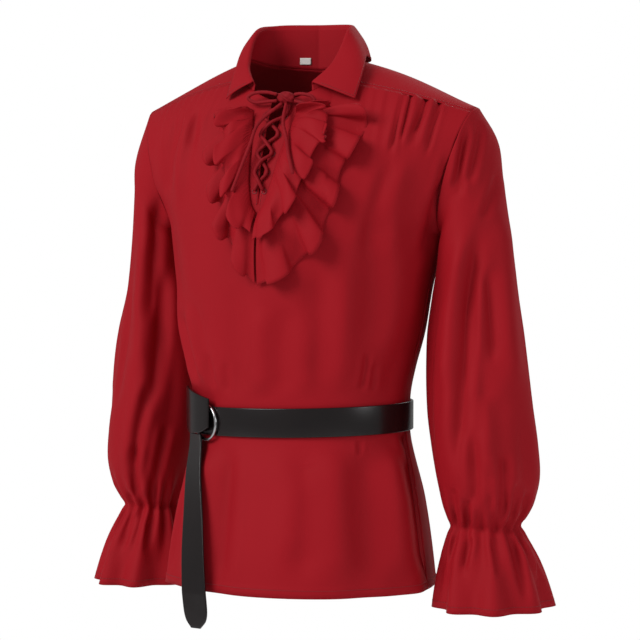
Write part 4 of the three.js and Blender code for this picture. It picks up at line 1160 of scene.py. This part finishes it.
def smooth_line(points, count):
    """Points spread evenly along a smooth curve through others."""
    points = np.array(points, float)
    keys = np.cumsum([0, *np.linalg.norm(np.diff(points, axis=0), axis=1)])
    return curve(keys, points, np.linspace(0, keys[-1], count + 1))


def hem_wave(strip, share):
    """The turn of the wave at each place along the hem, and the height of its lobes there."""
    middle, height = np.array(strip["lobes"], float).T
    count = len(middle)
    turns = np.concatenate([[0], np.arange(count) + QUARTER_TURN, [count - QUARTER_TURN]])
    keys = np.concatenate([[0], middle, [1]])
    heights = np.concatenate([height[:1], height, height[-1:]])
    return 2 * np.pi * np.interp(share, keys, turns), curve(keys, heights, share)


def ruffle_grid(strip):
    """A gathered strip that lies flat at its seam and rolls in soft overhanging lobes at its free hem."""
    share = np.linspace(0, 1, RUFFLE_COLUMNS + 1)
    hem = smooth_line(strip["hem"], RUFFLE_COLUMNS)
    sewn = smooth_line(strip["sewn"], RUFFLE_COLUMNS)
    sewn = curve(share, sewn, share**PLEAT_LEAN)
    turn, height = hem_wave(strip, share)
    along, away = unit(np.gradient(hem, axis=0)), unit(hem - sewn)
    roll = along * -LOBE_OVERHANG * np.sin(2 * turn)[:, None] + away * LOBE_REACH * np.sin(turn)[:, None]
    ends = (step(share, 0, RUFFLE_END) * (1 - step(share, 1 - RUFFLE_END, 1)))[:, None]
    hem = hem + roll * ends
    run = np.linspace(0, 1, RUFFLE_ROWS + 1)[:, None]
    bow = along * PLEAT_BOW * np.sin(2 * np.pi * PLEAT_BOWS * share)[:, None] * ends
    x, z = (mix(sewn[:, at], hem[:, at], run) + bow[:, at] * np.sin(np.pi * run) for at in (0, 1))
    gather = SEWN_GATHER_DEPTH * np.sin(np.pi * SEWN_GATHERS * share) ** 2
    gather = gather * step(run, 0, SEWN_GATHER_START) * (1 - step(run, SEWN_GATHER_START, SEWN_GATHER_REACH))
    out = mix(strip["lift"], strip["rise"], run) + height * np.sin(turn) * run**LOBE_GROWTH
    out = out + gather + RUFFLE_FULLNESS * np.sin(np.pi * run)
    for along_turns, across_turns, start, depth in RUFFLE_DENTS:
        dent = np.sin(2 * np.pi * (along_turns * share + across_turns * run) + start * strip["side"])
        out = out + depth * dent * run * (1 - share**DENT_FADE)
    return off_front(strip["side"] * x, z, out)


def add_ruffles():
    for node, strip in RUFFLES.items():
        grid = ruffle_grid(strip)
        sheet = sheet_of(grid, flip=strip["side"] > 0)
        piece = add_cloth(node, sheet, FRILL_CLOTH)
        stitching = add_stitching(f"{node}_stitching", [(sheet, grid[-2])])


# Lace

TUBE_SIDES = 14
TUBE_SIDEWAYS = (0, 0.3, 1)
TUBE_CAP_LEAST = 0.02
LACE_LEVELS = (-62, -86, -110, -134, -158)
EYELET_INSET = 6
LACE_LIFT = LACE_DIAMETER / 2 + 0.8
LACE_RUNS = (
    ("lace_over", 1, LACE_LIFT + LACE_DIAMETER + SEAM, (5, -1.5, -8.6)),
    ("lace_under", -1, LACE_LIFT, (-5, -1.5, -9.7)),
)
KNOT_MIDDLE = (13, -42)
KNOT_OUT = 9.5
KNOT_HALF_SIZE = (12, 6.5, 8)
BOW_LOOPS = {
    "bow_loop_left": (
        (11.5, 4, 0.5), (24, 5, 3), (38, 2, 4), (43, -4, 4), (34, -8, 4), (22, -6, 3), (11.5, -4, 0.5),
    ),
    "bow_loop_right": (
        (-11.5, 4, 0.5), (-26, 7, 3), (-44, 6, 4), (-53, 0, 4), (-44, -6, 4), (-26, -5, 3), (-11.5, -4, 0.5),
    ),
}
# Where each free end leaves the knot, then its places on the front and its height over it.
LACE_ENDS = {
    "lace_end_left": ((2.8, 5, -6.6), ((22, -76, 14), (33, -98, 15), (42, -120, 25), (50, -143, 31))),
    "lace_end_right": ((-2.8, 5, -6.6), ((-14, -78, 14), (-18, -105, 14), (-23, -135, 16), (-27, -163, 22))),
}


def tube(line, flat=1.0, twist=0.0, ribs=0.0):
    """A closed tube of lace round a line of points. It may be flattened, or lightly ribbed with a twist."""
    count = len(line)
    radius = LACE_DIAMETER / 2
    along = unit(np.gradient(line, axis=0))
    across = unit(np.cross(along[0], TUBE_SIDEWAYS))
    frames = []
    for direction in along:
        across = unit(across - direction * (across @ direction))
        frames.append((across, np.cross(direction, across)))
    sides, ups = (np.array(axis) for axis in zip(*frames))
    passed = np.cumsum([0, *np.linalg.norm(np.diff(line, axis=0), axis=1)])
    ends = np.minimum(passed, passed[-1] - passed) / radius
    cap = np.sqrt(np.maximum(1 - (1 - np.minimum(ends, 1)) ** 2, TUBE_CAP_LEAST))
    turn = 2 * np.pi * np.arange(TUBE_SIDES) / TUBE_SIDES
    rib = 1 + ribs * np.cos(2 * (turn + twist * passed[:, None]))
    wide = (radius * cap)[:, None] * rib
    ring = sides[:, None] * (wide * np.cos(turn))[..., None]
    ring = ring + ups[:, None] * (wide * flat * np.sin(turn))[..., None]
    points, faces = sheet_of(line[:, None] + ring, closed=True)
    edge = np.arange(TUBE_SIDES)
    after = np.roll(edge, -1)
    top = (count - 1) * TUBE_SIDES
    caps = []
    for middle, pair in enumerate(((after, edge), (edge + top, after + top)), len(points)):
        caps.append(np.column_stack([*pair, np.full((TUBE_SIDES, 2), middle)]))
    return np.concatenate([points, line[:1], line[-1:]]), np.concatenate([faces, *caps])


def knot_point(left, ahead, up):
    """A place by its offset from the middle of the knot: to the left, to the front and up."""
    across, height = KNOT_MIDDLE
    return off_front(np.full(1, across), np.full(1, height), KNOT_OUT)[0] + np.array([left, -ahead, up])


LACE_STEP = 1.6
LACE_RIB = 0.06
LACE_TWIST = 0.5


def lace_line(points):
    length = np.linalg.norm(np.diff(points, axis=0), axis=1).sum()
    return smooth_line(points, int(length / LACE_STEP))


def add_lace(node, line):
    """A run of lace along a line of points, in place of its node."""
    points, faces = tube(line, ribs=LACE_RIB, twist=LACE_TWIST)
    return stand_for(add_mesh(f"{node}_cord", points, faces, RED_LACE), node)


def add_lace_ends():
    """The two free ends of the lace, hanging from under the knot."""
    for node, (start, places) in LACE_ENDS.items():
        hanging = off_front(*np.array(places, float).T)
        line = lace_line(np.concatenate([[knot_point(*start)], hanging]))
        piece = add_lace(node, line)


def add_lacing():
    """Two crossing runs of the lace, which change side at each level."""
    for node, first_side, crossing, start in LACE_RUNS:
        points = [knot_point(*start)]
        for index, z in enumerate(LACE_LEVELS):
            side = first_side if index % 2 == 0 else -first_side
            points.append(off_front(side * (slit_half_gap(z) + EYELET_INSET), z, LACE_LIFT))
            if z != LACE_LEVELS[-1]:
                points.append(off_front(0, (z + LACE_LEVELS[index + 1]) / 2, crossing))
        add_lace(node, lace_line(np.array(points)))


EYELET_RADIUS = 3.1
EYELET_WIRE = 0.8
EYELET_STEPS = 20
EYELET_SIDES = 8


def add_eyelets():
    """Worked eyelets beside the slit, which the lace goes through."""
    rings = []
    for z in LACE_LEVELS:
        for side in (1, -1):
            middle, out = front_at(side * (slit_half_gap(z) + EYELET_INSET), z)
            up = unit(np.cross(out, (1, 0, 0)))
            axes = np.cross(up, out), up, out
            rings.append(ring_of_wire(middle, axes, EYELET_RADIUS, EYELET_WIRE, EYELET_STEPS, EYELET_SIDES))
    add_mesh("eyelets_thread", *join_sheets(rings), RED_THREAD)


KNOT_ROUNDS = 48
KNOT_PLEATS = 5
KNOT_PLEAT_DEPTH = 0.05
KNOT_WRAP = ((-10, 0, 5), (-5, -5.8, 3.5), (1, -7.4, 0), (6.5, -5.8, -3.5), (10.5, 0, -5))
KNOT_WRAP_FLATNESS = 0.6


def add_knot():
    """The pleated ball of the knot with one turn of lace over it, and the two loops of the bow."""
    middle = knot_point(0, 0, 0)
    turn = np.linspace(0, 2 * np.pi, KNOT_ROUNDS, endpoint=False)
    rise = np.linspace(-np.pi / 2, np.pi / 2, KNOT_ROUNDS // 2)[:, None]
    pleats = 1 + KNOT_PLEAT_DEPTH * np.sin(KNOT_PLEATS * (turn + rise))
    wide, deep, tall = KNOT_HALF_SIZE
    ball = place(wide * np.cos(rise) * np.cos(turn), -deep * np.cos(rise) * np.sin(turn), tall * np.sin(rise))
    core = sheet_of(middle + ball * pleats[..., None], closed=True, flip=True)
    wrap = tube(lace_line(middle + np.array(KNOT_WRAP)), flat=KNOT_WRAP_FLATNESS)
    points, faces = join_sheets([core, wrap])
    stand_for(add_mesh("lace_knot_cord", points, faces, RED_LACE), "lace_knot")
    for node, loop in BOW_LOOPS.items():
        add_lace(node, lace_line(middle + np.array([(x, -out, z) for x, z, out in loop])))


# Label

LABEL_SIZE = (15, 9)
LABEL_THICKNESS = 0.5
LABEL_MIDDLE = (-18, 12)
LABEL_NECK_ANGLE = -14
LABEL_GAP = 1.3
LABEL_BOW = 0.4
LABEL_TURN = 10
LABEL_STEPS = (12, 8)


def add_label():
    """A blank woven label inside the back of the collar."""
    across, up = np.meshgrid(*(np.linspace(-0.5, 0.5, steps) for steps in LABEL_STEPS))
    wide, tall = LABEL_SIZE
    x, z = LABEL_MIDDLE
    y = neck_point(LABEL_NECK_ANGLE)[1] - CLOTH - LABEL_GAP - LABEL_BOW * np.cos(np.pi * across)
    y = y + wide * across * np.sin(np.radians(LABEL_TURN))
    sheet = sheet_of(place(x + wide * across, y, z + tall * up))
    stand_for(add_shell("size_label_cloth", sheet, LABEL_THICKNESS, WHITE_LABEL), "size_label")


# Belt

LEATHER_ROUNDING = 1.2
STRAP_STEPS = 240
RING_ANGLE = -36
RING_RADIUS = 23
RING_WIRE = 2
RING_DROP = -2
RING_STEPS = 96
RING_SIDES = 16

# The end of the belt turned down over the ring: its lower and upper edges by the angle round the body.
WRAP = table(
    "angle low high out",
    (-60, -2, 43, 10),
    (-52, -17, 41, 12.4),
    (-44, -17, 37, 13.4),
    (-37, -15, 33, 12.8),
    (-31, -8, 30, 12.4),
)
# The hanging end: its middle line and the way its face turns, from the tip up to the wrap.
TAIL = table(
    "z angle out facing half",
    (-729, -24.5, 17, -10, 7),
    (-718, -24.5, 17, -10, 16),
    (-700, -25, 17, -10, 19),
    (-640, -27.5, 17, -14, 19),
    (-580, -31.5, 15, -24, 19),
    (-520, -38.5, 12, -36, 19),
    (-479.9, -44, 12, -40, 17),
)


# Sizes of the faces of the wrap and the hanging end, up and across, with their steps.
WRAP_SIZE = (50, 60)
WRAP_STEPS = (12, 24)
TAIL_SIZE = (249, 38)
TAIL_STEPS = (90, 14)
# Places of the points along a rounded edge, as shares of its rounding, and round a corner of the strap.
ROUNDING_SHARES = np.array([0, 0.12, 0.4, 0.7, 1])
CORNER_STEPS = 5


def belt_point(angle, height, out):
    return body_point(angle, BELT_FLAT_LOW, out) + place(0, 0, BELT_MIDDLE - BELT_FLAT_LOW + height)


def edge_shares(length, steps):
    """Even shares of a length, with closer ones along the rounding at both ends."""
    rounding = LEATHER_ROUNDING / length * ROUNDING_SHARES
    between = np.linspace(rounding[-1], 1 - rounding[-1], steps)[1:-1]
    return np.concatenate([rounding, between, 1 - rounding[::-1]])


def add_slab(node, grid, shares, lengths):
    """A slab of leather with rounded edges in place of its node. Its outer face is a grid of points."""
    far = [np.minimum(share, 1 - share) * length for share, length in zip(shares, lengths)]
    border = np.minimum(far[0][:, None], far[1][None, :]).reshape(-1)
    points, faces = sheet_of(grid)
    normals = vertex_normals(points, faces)
    drop = 1 - np.sqrt(np.maximum(1 - (1 - np.minimum(border / LEATHER_ROUNDING, 1)) ** 2, 0))
    inset = (LEATHER_ROUNDING * drop)[:, None]
    solid = close_shell(points - normals * inset, points - normals * (LEATHER - inset), faces)
    stand_for(add_mesh(f"{node}_leather", *solid, BLACK_LEATHER), node)


def add_strap():
    corner = np.linspace(0, np.pi / 2, CORNER_STEPS)
    low, high = BELT_HALF_HEIGHT - LEATHER_ROUNDING, LEATHER - 2 * LEATHER_ROUNDING
    profile = []
    for quarter, (up, out) in enumerate(((low, high), (-low, high), (-low, 0), (low, 0))):
        turn = corner + quarter * np.pi / 2
        round_up, round_out = LEATHER_ROUNDING * np.cos(turn), LEATHER_ROUNDING * np.sin(turn)
        profile += list(zip(up + round_up, SEAM + LEATHER_ROUNDING + out + round_out))
    height, out = np.array(profile + profile[:1]).T
    angle = np.linspace(0, 360, STRAP_STEPS, endpoint=False)
    grid = belt_point(angle[None], height[:, None], out[:, None])
    points, faces = join_sheets([sheet_of(grid, closed=True, flip=True)])
    stand_for(add_mesh("belt_strap_leather", points, faces, BLACK_LEATHER), "belt_strap")


def add_ring():
    ahead = belt_point(RING_ANGLE, 0, 1) - belt_point(RING_ANGLE, 0, 0)
    across = np.array([-ahead[1], ahead[0], 0])
    middle = belt_point(RING_ANGLE, RING_DROP, SEAM + LEATHER + RING_WIRE)
    axes = across, np.array([0, 0, 1]), ahead
    points, faces = ring_of_wire(middle, axes, RING_RADIUS, RING_WIRE, RING_STEPS, RING_SIDES)
    stand_for(add_mesh("belt_ring_wire", points, faces, STEEL), "belt_ring")


def add_wrap():
    shares = up, along = [edge_shares(*sizes) for sizes in zip(WRAP_SIZE, WRAP_STEPS)]
    angle = mix(*WRAP["angle"][[0, -1]], along)
    low, high, out = (read(WRAP, name, angle)[None] for name in ("low", "high", "out"))
    grid = belt_point(angle[None], mix(low, high, up[:, None]), out)
    add_slab("belt_wrap", grid, shares, WRAP_SIZE)


def add_tail():
    shares = rise, across = [edge_shares(*sizes) for sizes in zip(TAIL_SIZE, TAIL_STEPS)]
    z = mix(*TAIL["z"][[0, -1]], rise)[:, None]
    turn = np.radians(read(TAIL, "facing", z))
    middle = body_point(read(TAIL, "angle", z), np.maximum(z, HEM), read(TAIL, "out", z))
    half = read(TAIL, "half", z) * (2 * across - 1)
    grid = place(middle[..., 0] + half * np.cos(turn), middle[..., 1] + half * np.sin(turn), z)
    add_slab("belt_tail", grid, shares, TAIL_SIZE)


add_body()
add_sleeves()
add_collar()
add_ruffles()
add_lace_ends()
add_lacing()
add_eyelets()
add_knot()
add_label()
add_strap()
add_ring()
add_wrap()
add_tail()
